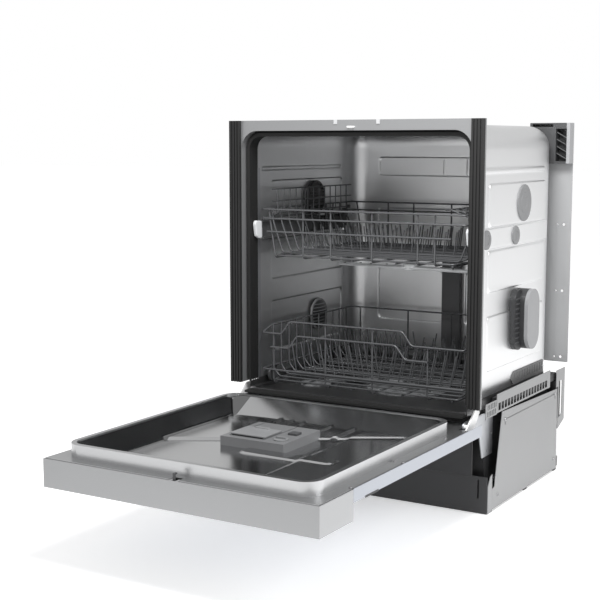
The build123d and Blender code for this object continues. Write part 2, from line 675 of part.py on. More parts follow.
# ---- Door ----
def door_liner():
    """Deep-drawn inner door: flat flange, raised rim and wash basin."""
    def ring(inset, low, high):
        across = (-RIM_HALF + inset, RIM_HALF - inset)
        return along_z(rounded(across, (RIM_FRONT + inset, RIM_REAR - inset), RIM_CORNER - inset), low, high)

    top = DOOR_FACE + RIM_HEIGHT
    half = DOOR_HALF - 3
    liner = block((-half, half), (DOOR_FRONT + 3, -34), (DOOR_FACE - SKIN, DOOR_FACE))
    liner += block((-LINER_TAIL, LINER_TAIL), (-34, DOOR_REAR - 2), (DOOR_FACE - SKIN, DOOR_FACE))
    liner += ring(0, DOOR_FACE - SKIN, top)
    liner -= ring(SKIN, DOOR_FACE - SKIN - 1, top - SKIN)
    liner += ring(RIM_BAND, BASIN_FLOOR - SKIN, top)
    liner -= ring(RIM_BAND + SKIN, BASIN_FLOOR, top + 1)
    liner -= block((DISH_X0 + 3, DISH_X1 - 3), (DISH_Y0 + 3, DISH_Y1 - 3), (BASIN_FLOOR - 5, BASIN_FLOOR + 1))
    slot = block((STRIKE_X - 10, STRIKE_X + 10), (LATCH_Y - 8, LATCH_Y + 9), (DOOR_FACE - 3, DOOR_FACE + 1))
    return liner - slot


LINER_TAIL = TUB_HALF + 2
DISH_X0, DISH_X1 = -95.0, 48.0
DISH_Y0, DISH_Y1 = -343.0, -205.0
LATCH_Y = DOOR_FRONT + 10


def door_outer_shell():
    """Outer steel skin of the door with its two side walls."""
    low = DOOR_FACE - DOOR_THICK
    front = DOOR_FRONT + PANEL_LENGTH
    shell = block((-DOOR_HALF, DOOR_HALF), (front, DOOR_REAR), (low, low + SKIN))
    for side in (-1, 1):
        wall = sorted((side * (DOOR_HALF - SKIN), side * DOOR_HALF))
        shell += block(wall, (front, DOOR_REAR), (low, DOOR_FACE))
    return shell


def door_insulation():
    """Felt pad inside the door, cut out round the dispenser."""
    low = DOOR_FACE - DOOR_THICK + SKIN
    pad = block((-230, 230), (DISH_Y0 - 90, DISH_Y1 + 110), (low, low + 5))
    return pad - block((DISH_X0 - 4, DISH_X1 + 4), (DISH_Y0 - 4, DISH_Y1 + 4), (low - 1, low + 10))


GRIP_HALF = 90.0
BUTTON_XS = (-210.0, -100.0, -60.0, 120.0)
BUTTON_NAMES = ("button_power", "button_program", "button_half_load", "button_start")
BUTTON_R = 7.0
DISPLAY_X = 30.0
PANEL_LOW = DOOR_FACE - DOOR_THICK - PANEL_DROP
BUTTON_Y = DOOR_FRONT + 52


def control_panel():
    """Control panel box along the free edge of the door, open towards the liner."""
    front, rear = DOOR_FRONT, DOOR_FRONT + PANEL_LENGTH
    top = DOOR_FACE - SKIN - SEAT
    panel = block((-DOOR_HALF, DOOR_HALF), (front, rear), (PANEL_LOW, top))
    panel -= block(
        (-DOOR_HALF + MOULD, DOOR_HALF - MOULD), (front + MOULD, rear - MOULD), (PANEL_LOW + MOULD, top + 1)
    )
    panel -= block((-RIM_HALF, RIM_HALF), (RIM_FRONT - 2, rear + 1), (BASIN_FLOOR - SKIN - SEAT, top + 1))
    panel += block((-GRIP_HALF - 2, GRIP_HALF + 2), (rear - 26, rear - 1), (PANEL_LOW + 3, PANEL_LOW + 25))
    panel -= block((-GRIP_HALF, GRIP_HALF), (rear - 24, rear + 1), (PANEL_LOW + 5, PANEL_LOW + 23))
    for x in BUTTON_XS:
        panel -= rod((x, BUTTON_Y, PANEL_LOW - 1), (x, BUTTON_Y, PANEL_LOW + MOULD + 1), BUTTON_R + 0.4)
    window = rect((DISPLAY_X - 36, DISPLAY_X + 36), (BUTTON_Y - 13, BUTTON_Y + 13))
    return panel - along_z(window, PANEL_LOW - 1, PANEL_LOW + MOULD + 1)


def display_window():
    """Clear window over the display."""
    return block(
        (DISPLAY_X - 36 + SEAT, DISPLAY_X + 36 - SEAT), (BUTTON_Y - 13 + SEAT, BUTTON_Y + 13 - SEAT),
        (PANEL_LOW + 0.5, PANEL_LOW + MOULD + 6 - SEAT),
    )


def control_board():
    """Control electronics on the window's back, standing on posts from the panel."""
    low = PANEL_LOW + MOULD + 6
    board = block((-240, 150), (BUTTON_Y - 18, BUTTON_Y + 18), (low, low + 1.6))
    board += block((-180, -120), (BUTTON_Y - 12, BUTTON_Y + 12), (low + 1.6, low + 14))
    for x in (-232.0, 142.0):
        board += rod((x, BUTTON_Y, PANEL_LOW + MOULD), (x, BUTTON_Y, low), 4)
    return board


def button(x):
    """Round push button with a flange behind the panel that keeps it in."""
    inside = PANEL_LOW + MOULD
    cap = rod((x, BUTTON_Y, PANEL_LOW - 1.8), (x, BUTTON_Y, inside + SEAT), BUTTON_R)
    return cap + rod((x, BUTTON_Y, inside + SEAT), (x, BUTTON_Y, inside + 2), BUTTON_R + 2.5)


ARM_IN = WALL_OUT + 8.0
ARM_PLATE = 3.0


def hinge_arms():
    """White hinge levers fixed in the door's sides, with the pivot studs."""
    outline = Polygon(
        (-110, 181), (8, 181), (45, 222), (37, 232), (25, 232), (-20, 197.5), (-110, 197.5), align=None,
    )
    arm = along_x(outline, ARM_IN, ARM_IN + ARM_PLATE)
    arm += rod((WALL_OUT - 1, HINGE_Y, HINGE_Z), (ARM_IN, HINGE_Y, HINGE_Z), PIN_R)
    arm += block((ARM_IN + ARM_PLATE, DOOR_HALF - SKIN), (-104, -60), (184, 195))
    return mirrored(arm)


def latch_hook():
    """Pivoting hook that catches the strike, on its cross pin."""
    x0, x1 = STRIKE_X - 2, STRIKE_X + 2
    hook = block((x0, x1), (LATCH_Y - 6, LATCH_Y - 2.5), (LATCH_PIVOT_Z - 4, DOOR_FACE + 11))
    hook += block((x0, x1), (LATCH_Y - 6, LATCH_Y + 2), (DOOR_FACE + 8.5, DOOR_FACE + 11))
    y, z = LATCH_Y - 4, LATCH_PIVOT_Z
    return hook + rod((STRIKE_X - 8, y, z), (STRIKE_X + 8, y, z), 2)


LATCH_PIVOT_Z = DOOR_FACE - 8


def latch_cheeks():
    """Bearing cheeks for the latch hook's cross pin."""
    cheeks = []
    for side in (-1, 1):
        low, high = sorted((STRIKE_X + side * 4, STRIKE_X + side * 10))
        y, z = LATCH_Y - 4, LATCH_PIVOT_Z
        cheek = block((low, high), (DOOR_FRONT + MOULD, LATCH_Y + 4), (z - 8, DOOR_FACE - SKIN - SEAT))
        cheeks.append(cheek - rod((low - 1, y, z), (high + 1, y, z), 2 + RUN))
    return cheeks


DISH_FACE = BASIN_FLOOR + 20.0  # top of the flange
DISH_TOP = DISH_FACE + 8
LID_LOW = DISH_FACE + 2
CUP_X0, CUP_X1 = -78.0, -6.0
CUP_Y0, CUP_Y1 = -322.0, -272.0


def dispenser_body():
    """Detergent dispenser set in the liner, with its powder cup and rinse-aid port."""
    body = block((DISH_X0, DISH_X1), (DISH_Y0, DISH_Y1), (BASIN_FLOOR, DISH_FACE))
    inset = 4
    body += block(
        (DISH_X0 + inset, DISH_X1 - inset), (DISH_Y0 + inset, DISH_Y1 - inset),
        (DOOR_FACE - DOOR_THICK + 2, BASIN_FLOOR),
    )
    body -= block((CUP_X0, CUP_X1), (CUP_Y0, CUP_Y1), (BASIN_FLOOR - 8, DISH_FACE + 1))
    body -= rod((CAP_X, CAP_Y, DISH_FACE - 8), (CAP_X, CAP_Y, DISH_FACE + 1), CAP_R + 0.5)
    pocket = 10.5
    body -= block(
        (KEY_X - pocket, KEY_X + pocket), (KEY_Y - pocket, KEY_Y + pocket), (DISH_FACE - 6, DISH_FACE + 1)
    )
    for x in (CUP_X0 - 4, CUP_X1):
        body += block((x, x + 4), (CUP_Y0 - 8, CUP_Y1 + 62), (DISH_FACE, LID_LOW - SEAT))
    return body


CAP_X, CAP_Y, CAP_R = 24.0, -312.0, 14.0
KEY_X, KEY_Y = 24.0, -262.0


def dispenser_lid():
    """Lid over the powder cup that slides back on two ribs."""
    lid = block((CUP_X0 - 4, CUP_X1 + 4), (CUP_Y0 - 6, CUP_Y1 + 6), (LID_LOW, LID_LOW + 4))
    return lid + block((CUP_X0 + 20, CUP_X1 - 20), (CUP_Y1 - 6, CUP_Y1 + 2), (LID_LOW + 4, LID_LOW + 7))


def dispenser_key():
    """Press key that releases the dispenser lid."""
    return block((KEY_X - 10, KEY_X + 10), (KEY_Y - 10, KEY_Y + 10), (DISH_FACE - 3, DISH_TOP - 4))


def rinse_cap():
    """Round rinse-aid cap with a finger bar."""
    cap = rod((CAP_X, CAP_Y, DISH_FACE - 8 + SEAT), (CAP_X, CAP_Y, DISH_FACE + 2), CAP_R)
    return cap + block((CAP_X - 11, CAP_X + 11), (CAP_Y - 2, CAP_Y + 2), (DISH_FACE + 1, DISH_FACE + 6))


# ---- Baskets ----
def tine_row(xs, y, z, height, lean):
    """Row of straight tines standing on a cross wire, leaning by lean degrees along X."""
    tilt = math.radians(lean)
    tines = []
    for x in xs:
        foot = (x, y, z + TINE_R * math.sin(abs(tilt)) + 0.05)
        tip = (x + height * math.sin(tilt), y, foot[2] + height * math.cos(tilt))
        tines.append(rod(foot, tip, TINE_R))
    return tines


def spaced(low, high, count):
    """Evenly spaced values from low to high."""
    return [low + (high - low) * number / (count - 1) for number in range(count)]


CROSS_YS = spaced(80.0, BASKET_REAR - 35, 11)
LOWER_LONG_XS = (-217.0, -84.0, 31.0, 161.0)
LOWER_FLAT_XS = (-148.0, -27.0, 95.0, 212.0)
LOWER_ROWS = (1, 3, 7, 9)
WHEEL_YS = (97.0, BASKET_REAR - 52.0)
WHEEL_Z = LEDGE_TOP + 0.2 + WHEEL_R
DIP_LEFT, RISE_LEFT, RISE_RIGHT, DIP_RIGHT = -195.0, -173.0, 104.0, 125.0
DIP = 12.0
RISE = 17.0


def lower_basket():
    """Lower basket: rim with raised front handle, mid and bottom loops, cross wires, tines."""
    half, front, rear = BASKET_HALF, BASKET_FRONT, BASKET_REAR
    low_half = half - 20
    dipped, raised = LOWER_TOP - DIP, LOWER_TOP + RISE
    solids = wire(
        [
            (-half, front, dipped), (DIP_LEFT, front, dipped), (RISE_LEFT, front, raised),
            (RISE_RIGHT, front, raised), (DIP_RIGHT, front, dipped), (half, front, dipped),
            (half, front + 40, LOWER_TOP), (half, rear, LOWER_TOP), (-half, rear, LOWER_TOP),
            (-half, front + 40, LOWER_TOP),
        ],
        WIRE_R, closed=True,
    )
    solids += wire(
        [(-half + 22, front, dipped - 31), (DIP_LEFT + 20, front, dipped - 31),
         (RISE_LEFT + 18, front, raised - 31), (RISE_RIGHT - 16, front, raised - 31),
         (DIP_RIGHT - 14, front, dipped - 31), (163, front, dipped - 31)],
        WIRE_R,
    )
    mid = LOWER_FLOOR + 26
    middle = [(-half, front, mid), (half, front, mid), (half, rear, mid), (-half, rear, mid)]
    solids += wire(middle, WIRE_R, closed=True)
    bottom = [(-low_half, front + 20), (low_half, front + 20), (low_half, rear - 20), (-low_half, rear - 20)]
    solids += wire([(x, y, LOWER_FLOOR) for x, y in bottom], WIRE_R, closed=True)
    across = LOWER_FLOOR + 2 * WIRE_R
    inner = half - 2 * WIRE_R
    for y in CROSS_YS:
        solids += wire(
            [(-inner, y, LOWER_TOP), (-inner, y, mid - 2), (-low_half, y, across), (low_half, y, across),
             (inner, y, mid - 2), (inner, y, LOWER_TOP)],
            WIRE_R,
        )
    under = LOWER_FLOOR - 2 * WIRE_R
    for x in LOWER_LONG_XS:
        tall = raised if RISE_LEFT < x < RISE_RIGHT else dipped
        solids += wire(
            [(x, front + 4, tall), (x, front + 4, LOWER_FLOOR + 2), (x, front + 10, under),
             (x, rear - 10, under), (x, rear - 4, LOWER_FLOOR + 2), (x, rear - 4, LOWER_TOP)],
            WIRE_R,
        )
    for x in LOWER_FLAT_XS:
        solids.append(rod((x, front + 16, under), (x, rear - 16, under), WIRE_R))
    carrier = across + 2 * WIRE_R
    for row in LOWER_ROWS:
        y = CROSS_YS[row]
        solids.append(rod((-low_half + 6, y, carrier), (low_half - 6, y, carrier), WIRE_R))
        solids += tine_row(LEFT_TINES, y, carrier + WIRE_R, TINE_HEIGHT, -11)
        solids += tine_row(RIGHT_TINES, y, carrier + WIRE_R, TINE_HEIGHT, 11)
    for end in (-1, 1):
        x = end * FOLD_HALF
        foot = across + WIRE_R
        bearing = block((x - 4, x + 4), (CROSS_YS[5] - 2, CROSS_YS[6] + 2), (foot, foot + 9))
        solids.append(bearing - rod((x - 5, FOLD_Y, FOLD_Z), (x + 5, FOLD_Y, FOLD_Z), WIRE_R + RUN))
    for y in WHEEL_YS:
        bracket = block((half + WIRE_R, half + WIRE_R + 3), (y - 9, y + 9), (WHEEL_Z - 8, mid + 3))
        axle = rod((half + WIRE_R + 3, y, WHEEL_Z), (TUB_HALF - 5, y, WHEEL_Z), AXLE_R)
        solids += mirrored(bracket + axle)
    return solids


LEFT_TINES = spaced(-200.0, -25.0, 8)
RIGHT_TINES = spaced(10.0, 205.0, 9)
FOLD_HALF = 212.0
FOLD_Y = (CROSS_YS[5] + CROSS_YS[6]) / 2
FOLD_Z = LOWER_FLOOR + 3 * WIRE_R + 4.5


def folding_tines():
    """Row of tines on a wire that turns in two bearings, so that it folds down for pots."""
    solids = [rod((-FOLD_HALF - 4, FOLD_Y, FOLD_Z), (FOLD_HALF + 4, FOLD_Y, FOLD_Z), WIRE_R)]
    return solids + tine_row(spaced(-198.0, 198.0, 17), FOLD_Y, FOLD_Z + WIRE_R, TINE_HEIGHT - 6, 0)


def wheels(y):
    """Pair of wheels, left and right, on one axle line."""
    low = BASKET_HALF + WIRE_R + 3.6
    wheel = rod((low, y, WHEEL_Z), (TUB_HALF - 6.2, y, WHEEL_Z), WHEEL_R)
    wheel -= rod((low - 1, y, WHEEL_Z), (TUB_HALF, y, WHEEL_Z), AXLE_R + RUN)
    return mirrored(wheel)


UPPER_LONG_XS = (-229.0, -141.0, -72.0, 28.0, 135.0, 174.0)
UPPER_FLAT_XS = (-22.0, 82.0, 212.0)
UPPER_LOW_HALF = BASKET_HALF - 30
UPPER_ROWS = (2, 4, 6, 8)
RUNNER_IN = RAIL_IN - 1.0
RUNNER_FRONT = RAIL_FRONT + BASKET_TRAVEL - RAIL_TRAVEL + SLIDE_GAP
RUNNER_REAR = RAIL_REAR - 4
RUNNER_HALF = RAIL_HALF_HEIGHT - 5
SHELF_HINGE_Z = UPPER_TOP - 10
SHELF_X = BASKET_HALF - 9.0
SHELF_DEPTH = 53.0
SHELF_SLOPE = 20.0
FOLD_GAP = 0.1


def upper_basket():
    """Upper basket: three front rails, sloped sides, cross wires, tines and its side runners."""
    half, front, rear = BASKET_HALF, BASKET_FRONT, BASKET_REAR
    low_half = UPPER_LOW_HALF
    loops = ((half, front, UPPER_TOP), (half, front, UPPER_TOP - 20), (low_half, front + 12, UPPER_FLOOR))
    solids = []
    for edge, near, z in loops:
        far = rear + front - near
        corners = [(-edge, near, z), (edge, near, z), (edge, far, z), (-edge, far, z)]
        solids += wire(corners, WIRE_R, closed=True)
    third = UPPER_TOP - 49
    solids.append(rod((-half + 14, front, third), (UPPER_FLAT_XS[-1], front, third), WIRE_R))
    across = UPPER_FLOOR + 2 * WIRE_R
    inner = half - 2 * WIRE_R
    for y in CROSS_YS:
        solids += wire(
            [(-inner, y, UPPER_TOP), (-inner, y, UPPER_TOP - 28), (-low_half, y, across),
             (low_half, y, across), (inner, y, UPPER_TOP - 28), (inner, y, UPPER_TOP)],
            WIRE_R,
        )
    under = UPPER_FLOOR - 2 * WIRE_R
    for x in UPPER_LONG_XS:
        foot_x = max(x, WIRE_R - low_half)
        solids += wire(
            [(x, front + 4, UPPER_TOP), (foot_x, front + 4, UPPER_FLOOR), (foot_x, front + 10, under),
             (foot_x, rear - 10, under), (foot_x, rear - 4, UPPER_FLOOR), (x, rear - 4, UPPER_TOP)],
            WIRE_R,
        )
    for x in UPPER_FLAT_XS:
        solids.append(rod((x, front + 8, under), (x, rear - 8, under), WIRE_R))
    carrier = across + 2 * WIRE_R
    for row in UPPER_ROWS:
        y = CROSS_YS[row]
        solids.append(rod((-low_half + 8, y, carrier), (low_half - 8, y, carrier), WIRE_R))
        solids += tine_row(spaced(-190.0, -30.0, 8), y, carrier + WIRE_R, 50, -8)
        solids += tine_row(spaced(-5.0, 195.0, 9), y, carrier + WIRE_R, 50, 8)
    runner = block(
        (RUNNER_IN, RAIL_OUT - RAIL_LIP - 0.5), (RUNNER_FRONT, RUNNER_REAR),
        (RAIL_Z - RUNNER_HALF, RAIL_Z + RUNNER_HALF),
    )
    for y in (RUNNER_FRONT + 14, RUNNER_REAR - 16):
        runner += block((BASKET_HALF + WIRE_R, RUNNER_IN), (y - 9, y + 9), (RAIL_Z - 10, UPPER_TOP - 14))
    solids += mirrored(runner)
    for y in (CROSS_YS[0], CROSS_YS[-1]):
        post = block((SHELF_X - 4, inner - WIRE_R), (y - 4, y + 4), (SHELF_HINGE_Z - 4, SHELF_HINGE_Z + 4))
        post -= rod((SHELF_X, y - 5, SHELF_HINGE_Z), (SHELF_X, y + 5, SHELF_HINGE_Z), TINE_R + RUN)
        solids += mirrored(post)
    return solids


def cup_shelf(side, angle):
    """Folding wire shelf for cups on a spine along Y: level at 0 degrees, upright at 90."""
    turn = math.radians(angle)
    across, up = -side * math.cos(turn), math.sin(turn)

    def spot(reach, y):
        return (side * SHELF_X + across * reach, y, SHELF_HINGE_Z + up * reach)

    front, rear = CROSS_YS[0], CROSS_YS[-1]
    middle = SHELF_DEPTH / 2
    solids = [rod(spot(0, front - 5), spot(0, rear + 5), TINE_R)]
    for reach in (middle, SHELF_DEPTH):
        solids.append(rod(spot(reach, front - 12), spot(reach, rear + 12), TINE_R))
    for y in spaced(front + 12, rear - 12, 13):
        solids.append(rod(spot(TINE_R + FOLD_GAP, y), spot(middle - TINE_R, y), TINE_R - 0.2))
        solids.append(rod(spot(middle + TINE_R, y), spot(SHELF_DEPTH - TINE_R, y), TINE_R - 0.2))
    return solids


UPPER_ARM_Z = NOZZLE_Z - 14


def upper_feed_tube():
    """Tube under the upper basket from the docking nozzle to the spray arm's bearing."""
    tube = rod((ARM_X, ARM_Y, NOZZLE_Z), (ARM_X, NOZZLE_FRONT - 1, NOZZLE_Z), 6)
    tube += rod((ARM_X, ARM_Y, UPPER_ARM_Z - 1), (ARM_X, ARM_Y, NOZZLE_Z), POST_R)
    for y in (ARM_Y + 30, NOZZLE_FRONT - 24):
        tube += block((ARM_X - 6, ARM_X + 12), (y - 5, y + 5), (NOZZLE_Z, UPPER_FLOOR - 3 * WIRE_R))
    return tube


# ---- Write every sub-part ----
save("base_tray", base_tray())
save("front_foot_left", front_foot(-1))
save("front_foot_right", front_foot(1))
save("base_side_frames", *base_side_frames())
save("base_side_panels", *base_side_panels())
save("kick_plate", kick_plate())
save("hinge_plates", *hinge_plates())
save("door_springs", *door_springs())
save("sump", sump())
save("circulation_pump", circulation_pump())
save("drain_pump", drain_pump())
save("inlet_valve", inlet_valve())
save("cable_gland", cable_gland())
save("softener_tank", softener_tank())
save("pump_pipes", *pump_pipes())
save("front_frame", front_frame())
save("side_seal_strips", *side_seal_strips())
save("door_seal", *door_seal())
save("top_frame_fittings", *top_frame_fittings())
save("tub_wrapper", tub_wrapper())
save("tub_back", tub_back())
save("tub_floor", *tub_floor())
save("filter_plate", filter_plate())
save("filter_cup", *filter_cup())
save("softener_cap", softener_cap())
arm_top = LOWER_ARM_Z + ARM_THICK
save("lower_spray_arm", spray_arm(LOWER_ARM_Z, 24, LOWER_ARM_Z - 1, arm_top, LOWER_ARM_Z - 2, arm_top - 1.9))
save("rear_frame", rear_frame())
save("rear_corner_brackets", *rear_corner_brackets())
save("rail_roller_mounts", *rail_roller_mounts())
save("side_plugs", *side_plugs())
save("inlet_housing", *inlet_housing())
save("feed_duct", feed_duct())
save("sound_patches", *sound_patches())
save("basket_rails", *basket_rails())
save("rail_end_caps", *rail_end_caps())
save("door_liner", door_liner())
save("door_outer_shell", door_outer_shell())
save("door_insulation", door_insulation())
save("control_panel", control_panel(), *latch_cheeks())
save("display_window", display_window())
save("control_board", control_board())
save("hinge_arms", *hinge_arms())
save("latch_hook", latch_hook())
for label, place in zip(BUTTON_NAMES, BUTTON_XS):
    save(label, button(place))
save("dispenser_body", dispenser_body())
save("dispenser_lid", dispenser_lid())
save("dispenser_key", dispenser_key())
save("rinse_cap", rinse_cap())
save("lower_basket", *lower_basket())
save("folding_tines", *folding_tines())
save("lower_front_wheels", *wheels(WHEEL_YS[0]))
save("lower_rear_wheels", *wheels(WHEEL_YS[1]))
save("upper_basket", *upper_basket())
save("cup_shelf_left", *cup_shelf(-1, 90))
save("cup_shelf_right", *cup_shelf(1, SHELF_SLOPE))
save("upper_feed_tube", upper_feed_tube())
hub_low, hub_high = UPPER_ARM_Z - ARM_THICK - 2, UPPER_ARM_Z + 6
blade_low = UPPER_ARM_Z - ARM_THICK
save("upper_spray_arm", spray_arm(blade_low, 176, hub_low, hub_high, UPPER_ARM_Z - 2, hub_high + 1))
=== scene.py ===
import math

import bmesh
import bpy
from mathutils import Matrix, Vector


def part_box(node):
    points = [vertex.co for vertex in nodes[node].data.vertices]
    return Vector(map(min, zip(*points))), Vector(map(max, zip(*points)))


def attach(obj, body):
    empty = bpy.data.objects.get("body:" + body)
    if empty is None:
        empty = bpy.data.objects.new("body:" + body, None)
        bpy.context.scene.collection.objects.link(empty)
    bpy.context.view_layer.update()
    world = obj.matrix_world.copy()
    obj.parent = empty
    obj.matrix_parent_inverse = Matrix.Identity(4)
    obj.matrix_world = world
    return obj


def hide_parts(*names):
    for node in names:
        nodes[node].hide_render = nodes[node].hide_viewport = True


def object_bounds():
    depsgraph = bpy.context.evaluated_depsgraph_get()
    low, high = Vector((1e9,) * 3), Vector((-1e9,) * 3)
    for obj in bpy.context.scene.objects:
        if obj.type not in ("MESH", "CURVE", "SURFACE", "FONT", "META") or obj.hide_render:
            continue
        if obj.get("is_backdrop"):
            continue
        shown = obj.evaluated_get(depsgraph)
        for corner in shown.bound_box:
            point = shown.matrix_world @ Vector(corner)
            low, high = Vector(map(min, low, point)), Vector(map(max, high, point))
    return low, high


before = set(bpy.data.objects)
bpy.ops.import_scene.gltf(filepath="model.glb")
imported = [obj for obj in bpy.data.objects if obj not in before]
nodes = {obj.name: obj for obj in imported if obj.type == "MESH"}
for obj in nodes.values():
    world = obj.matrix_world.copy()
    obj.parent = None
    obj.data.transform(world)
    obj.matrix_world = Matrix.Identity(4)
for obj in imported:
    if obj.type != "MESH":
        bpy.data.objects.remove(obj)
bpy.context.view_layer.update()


# ---- Studio ----
# A pale floor, one large soft light above and to the right, one over the door into the tub,
# and the camera standing in front of the machine and to its right, a little above the door.
class Wire:
    """A shader socket that takes part in sums like a number."""

    def __init__(self, finish, socket):
        self.finish = finish
        self.socket = socket

    def sum(self, operation, first, second):
        return self.finish.node("ShaderNodeMath", {"operation": operation}, {0: first, 1: second})

    def __add__(self, other):
        return self.sum("ADD", self, other)

    def __radd__(self, other):
        return self.sum("ADD", other, self)

    def __sub__(self, other):
        return self.sum("SUBTRACT", self, other)

    def __rsub__(self, other):
        return self.sum("SUBTRACT", other, self)

    def __mul__(self, other):
        return self.sum("MULTIPLY", self, other)

    def __rmul__(self, other):
        return self.sum("MULTIPLY", other, self)

    def __gt__(self, other):
        return self.sum("GREATER_THAN", self, other)


class Finish:
    """One material: its shader and the nodes that feed it."""

    def __init__(self, name, **constants):
        self.material = bpy.data.materials.new(name)
        self.material.use_nodes = True
        self.tree = self.material.node_tree
        self.shader = self.tree.nodes["Principled BSDF"]
        for label, value in constants.items():
            self.shader.inputs[label.replace("_", " ")].default_value = value

    def node(self, kind, settings=None, inputs=None, output=0):
        made = self.tree.nodes.new(kind)
        for label, value in (settings or {}).items():
            if label == "stops":
                ramp = made.color_ramp
                ramp.elements[0].position, ramp.elements[0].color = value[0]
                ramp.elements[1].position, ramp.elements[1].color = value[-1]
            else:
                setattr(made, label, value)
        for label, value in (inputs or {}).items():
            self.put(made.inputs[label], value)
        return Wire(self, made.outputs[output])

    def put(self, socket, value):
        if isinstance(value, Wire):
            self.tree.links.new(value.socket, socket)
        else:
            socket.default_value = value

    def place(self, stretch=(1, 1, 1)):
        """Where a point lies on the object, in metres, stretched along an axis."""
        where = self.node("ShaderNodeTexCoord", output="Object")
        return self.node("ShaderNodeVectorMath", {"operation": "MULTIPLY"}, {0: where, 1: stretch})

    def spot(self, axis):
        """One coordinate of a point in the scene, for a piece that doesn't move."""
        where = self.node("ShaderNodeNewGeometry", output="Position")
        return self.node("ShaderNodeSeparateXYZ", None, {"Vector": where}, output="XYZ".index(axis))

    def noise(self, scale, detail=3.0, stretch=(1, 1, 1)):
        return self.node("ShaderNodeTexNoise", None, {"Vector": self.place(stretch), "Scale": scale, "Detail": detail})

    def tint(self, mask, first, second):
        settings = {"data_type": "RGBA"}
        colour = self.node("ShaderNodeMix", settings, {0: mask, 6: (*first, 1), 7: (*second, 1)}, output=2)
        self.put(self.shader.inputs["Base Color"], colour)

    def rough(self, value):
        self.put(self.shader.inputs["Roughness"], value)

    def bump(self, height, depth, strength=1.0):
        made = self.node("ShaderNodeBump", None, {"Height": height, "Distance": depth, "Strength": strength})
        self.put(self.shader.inputs["Normal"], made)


def shades(colour, spread):
    """A darker and a lighter version of a colour."""
    return [v * (1 - spread) for v in colour], [min(1, v * (1 + spread)) for v in colour]


pale = Finish("studio_floor", Emission_Color=(1, 1, 1, 1), Emission_Strength=0.42)
pale.tint(pale.noise(1.5), (0.93, 0.93, 0.93), (0.97, 0.97, 0.97))
pale.rough(0.75 + pale.noise(30) * 0.1)
bpy.ops.mesh.primitive_plane_add(size=60)
floor = bpy.context.object
floor.name = "studio_floor"
floor.data.materials.append(pale.material)
floor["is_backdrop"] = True

world = bpy.data.worlds.new("studio")
world.use_nodes = True
seen = world.node_tree.nodes["Background"]
seen.inputs["Color"].default_value = (1, 1, 1, 1)
lighting = world.node_tree.nodes.new("ShaderNodeBackground")
lighting.inputs["Color"].default_value = (1, 1, 1, 1)
lighting.inputs["Strength"].default_value = 0.62
to_camera = world.node_tree.nodes.new("ShaderNodeLightPath")
either = world.node_tree.nodes.new("ShaderNodeMixShader")
world.node_tree.links.new(to_camera.outputs["Is Camera Ray"], either.inputs[0])
world.node_tree.links.new(lighting.outputs[0], either.inputs[1])
world.node_tree.links.new(seen.outputs[0], either.inputs[2])
world.node_tree.links.new(either.outputs[0], world.node_tree.nodes["World Output"].inputs["Surface"])
bpy.context.scene.world = world
bpy.context.scene.view_settings.view_transform = "Standard"


def soft_light(name, place, aim, size, watts):
    """Square soft light at a place, turned towards a point."""
    light = bpy.data.lights.new(name, "AREA")
    light.size = size
    light.energy = watts
    lamp = bpy.data.objects.new(name, light)
    lamp.location = place
    lamp.rotation_euler = (Vector(aim) - Vector(place)).to_track_quat("-Z", "Y").to_euler()
    bpy.context.collection.objects.link(lamp)


soft_light("key_light", (3.0, 0.1, 2.2), (0.2, 0, 0.4), 1.6, 34)
soft_light("cavity_light", (0.35, -0.55, 1.5), (-0.1, 0.35, 0.5), 0.5, 24)

lens = bpy.data.cameras.new("camera")
lens.lens = 73.7
camera = bpy.data.objects.new("camera", lens)
camera.location = (1.2354, -2.2487, 0.7678)
camera.rotation_euler = (math.radians(82.7), 0, math.radians(31.122))
bpy.context.collection.objects.link(camera)
bpy.context.scene.camera = camera


# ---- Base ----
# A black moulded tray with feet, closed in front by a dark painted plinth sheet and at the sides
# by coated steel panels with a row of vents. Pumps, salt tank and door springs stand inside.
def smoothing():
    """Modifier tree that shades smooth wherever the surface turns less than 35 degrees."""
    tree = bpy.data.node_groups.new("smooth_by_angle", "GeometryNodeTree")
    for way in ("INPUT", "OUTPUT"):
        tree.interface.new_socket("Geometry", in_out=way, socket_type="NodeSocketGeometry")
    start = tree.nodes.new("NodeGroupInput")
    end = tree.nodes.new("NodeGroupOutput")
    faces = tree.nodes.new("GeometryNodeSetShadeSmooth")
    edges = tree.nodes.new("GeometryNodeSetShadeSmooth")
    edges.domain = "EDGE"
    angle = tree.nodes.new("GeometryNodeInputMeshEdgeAngle")
    under = tree.nodes.new("FunctionNodeCompare")
    under.operation = "LESS_THAN"
    under.inputs[1].default_value = math.radians(35)
    tree.links.new(start.outputs[0], faces.inputs["Geometry"])
    tree.links.new(faces.outputs[0], edges.inputs["Geometry"])
    tree.links.new(angle.outputs[0], under.inputs[0])
    tree.links.new(under.outputs[0], edges.inputs["Shade Smooth"])
    tree.links.new(edges.outputs[0], end.inputs[0])
    return tree


smooth_tree = smoothing()


def ease(piece, width):
    """Small rounds on a piece's sharp edges, in metres, and smooth shading between them."""
    if width:
        weld = piece.modifiers.new("weld", "WELD")
        weld.merge_threshold = 0.00001
        bevel = piece.modifiers.new("rounds", "BEVEL")
        bevel.width = width
        bevel.segments = 2
        bevel.limit_method = "ANGLE"
        bevel.angle_limit = math.radians(38)
        bevel.use_clamp_overlap = True
    shading = piece.modifiers.new("shading", "NODES")
    shading.node_group = smooth_tree
    if width:
        flats = piece.modifiers.new("flats", "WEIGHTED_NORMAL")
        flats.keep_sharp = True


def wear(finish, *names, width=0.0005):
    """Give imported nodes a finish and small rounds."""
    for name in names:
        node = nodes[name]
        node.data.materials.clear()
        node.data.materials.append(finish.material)
        ease(node, width)


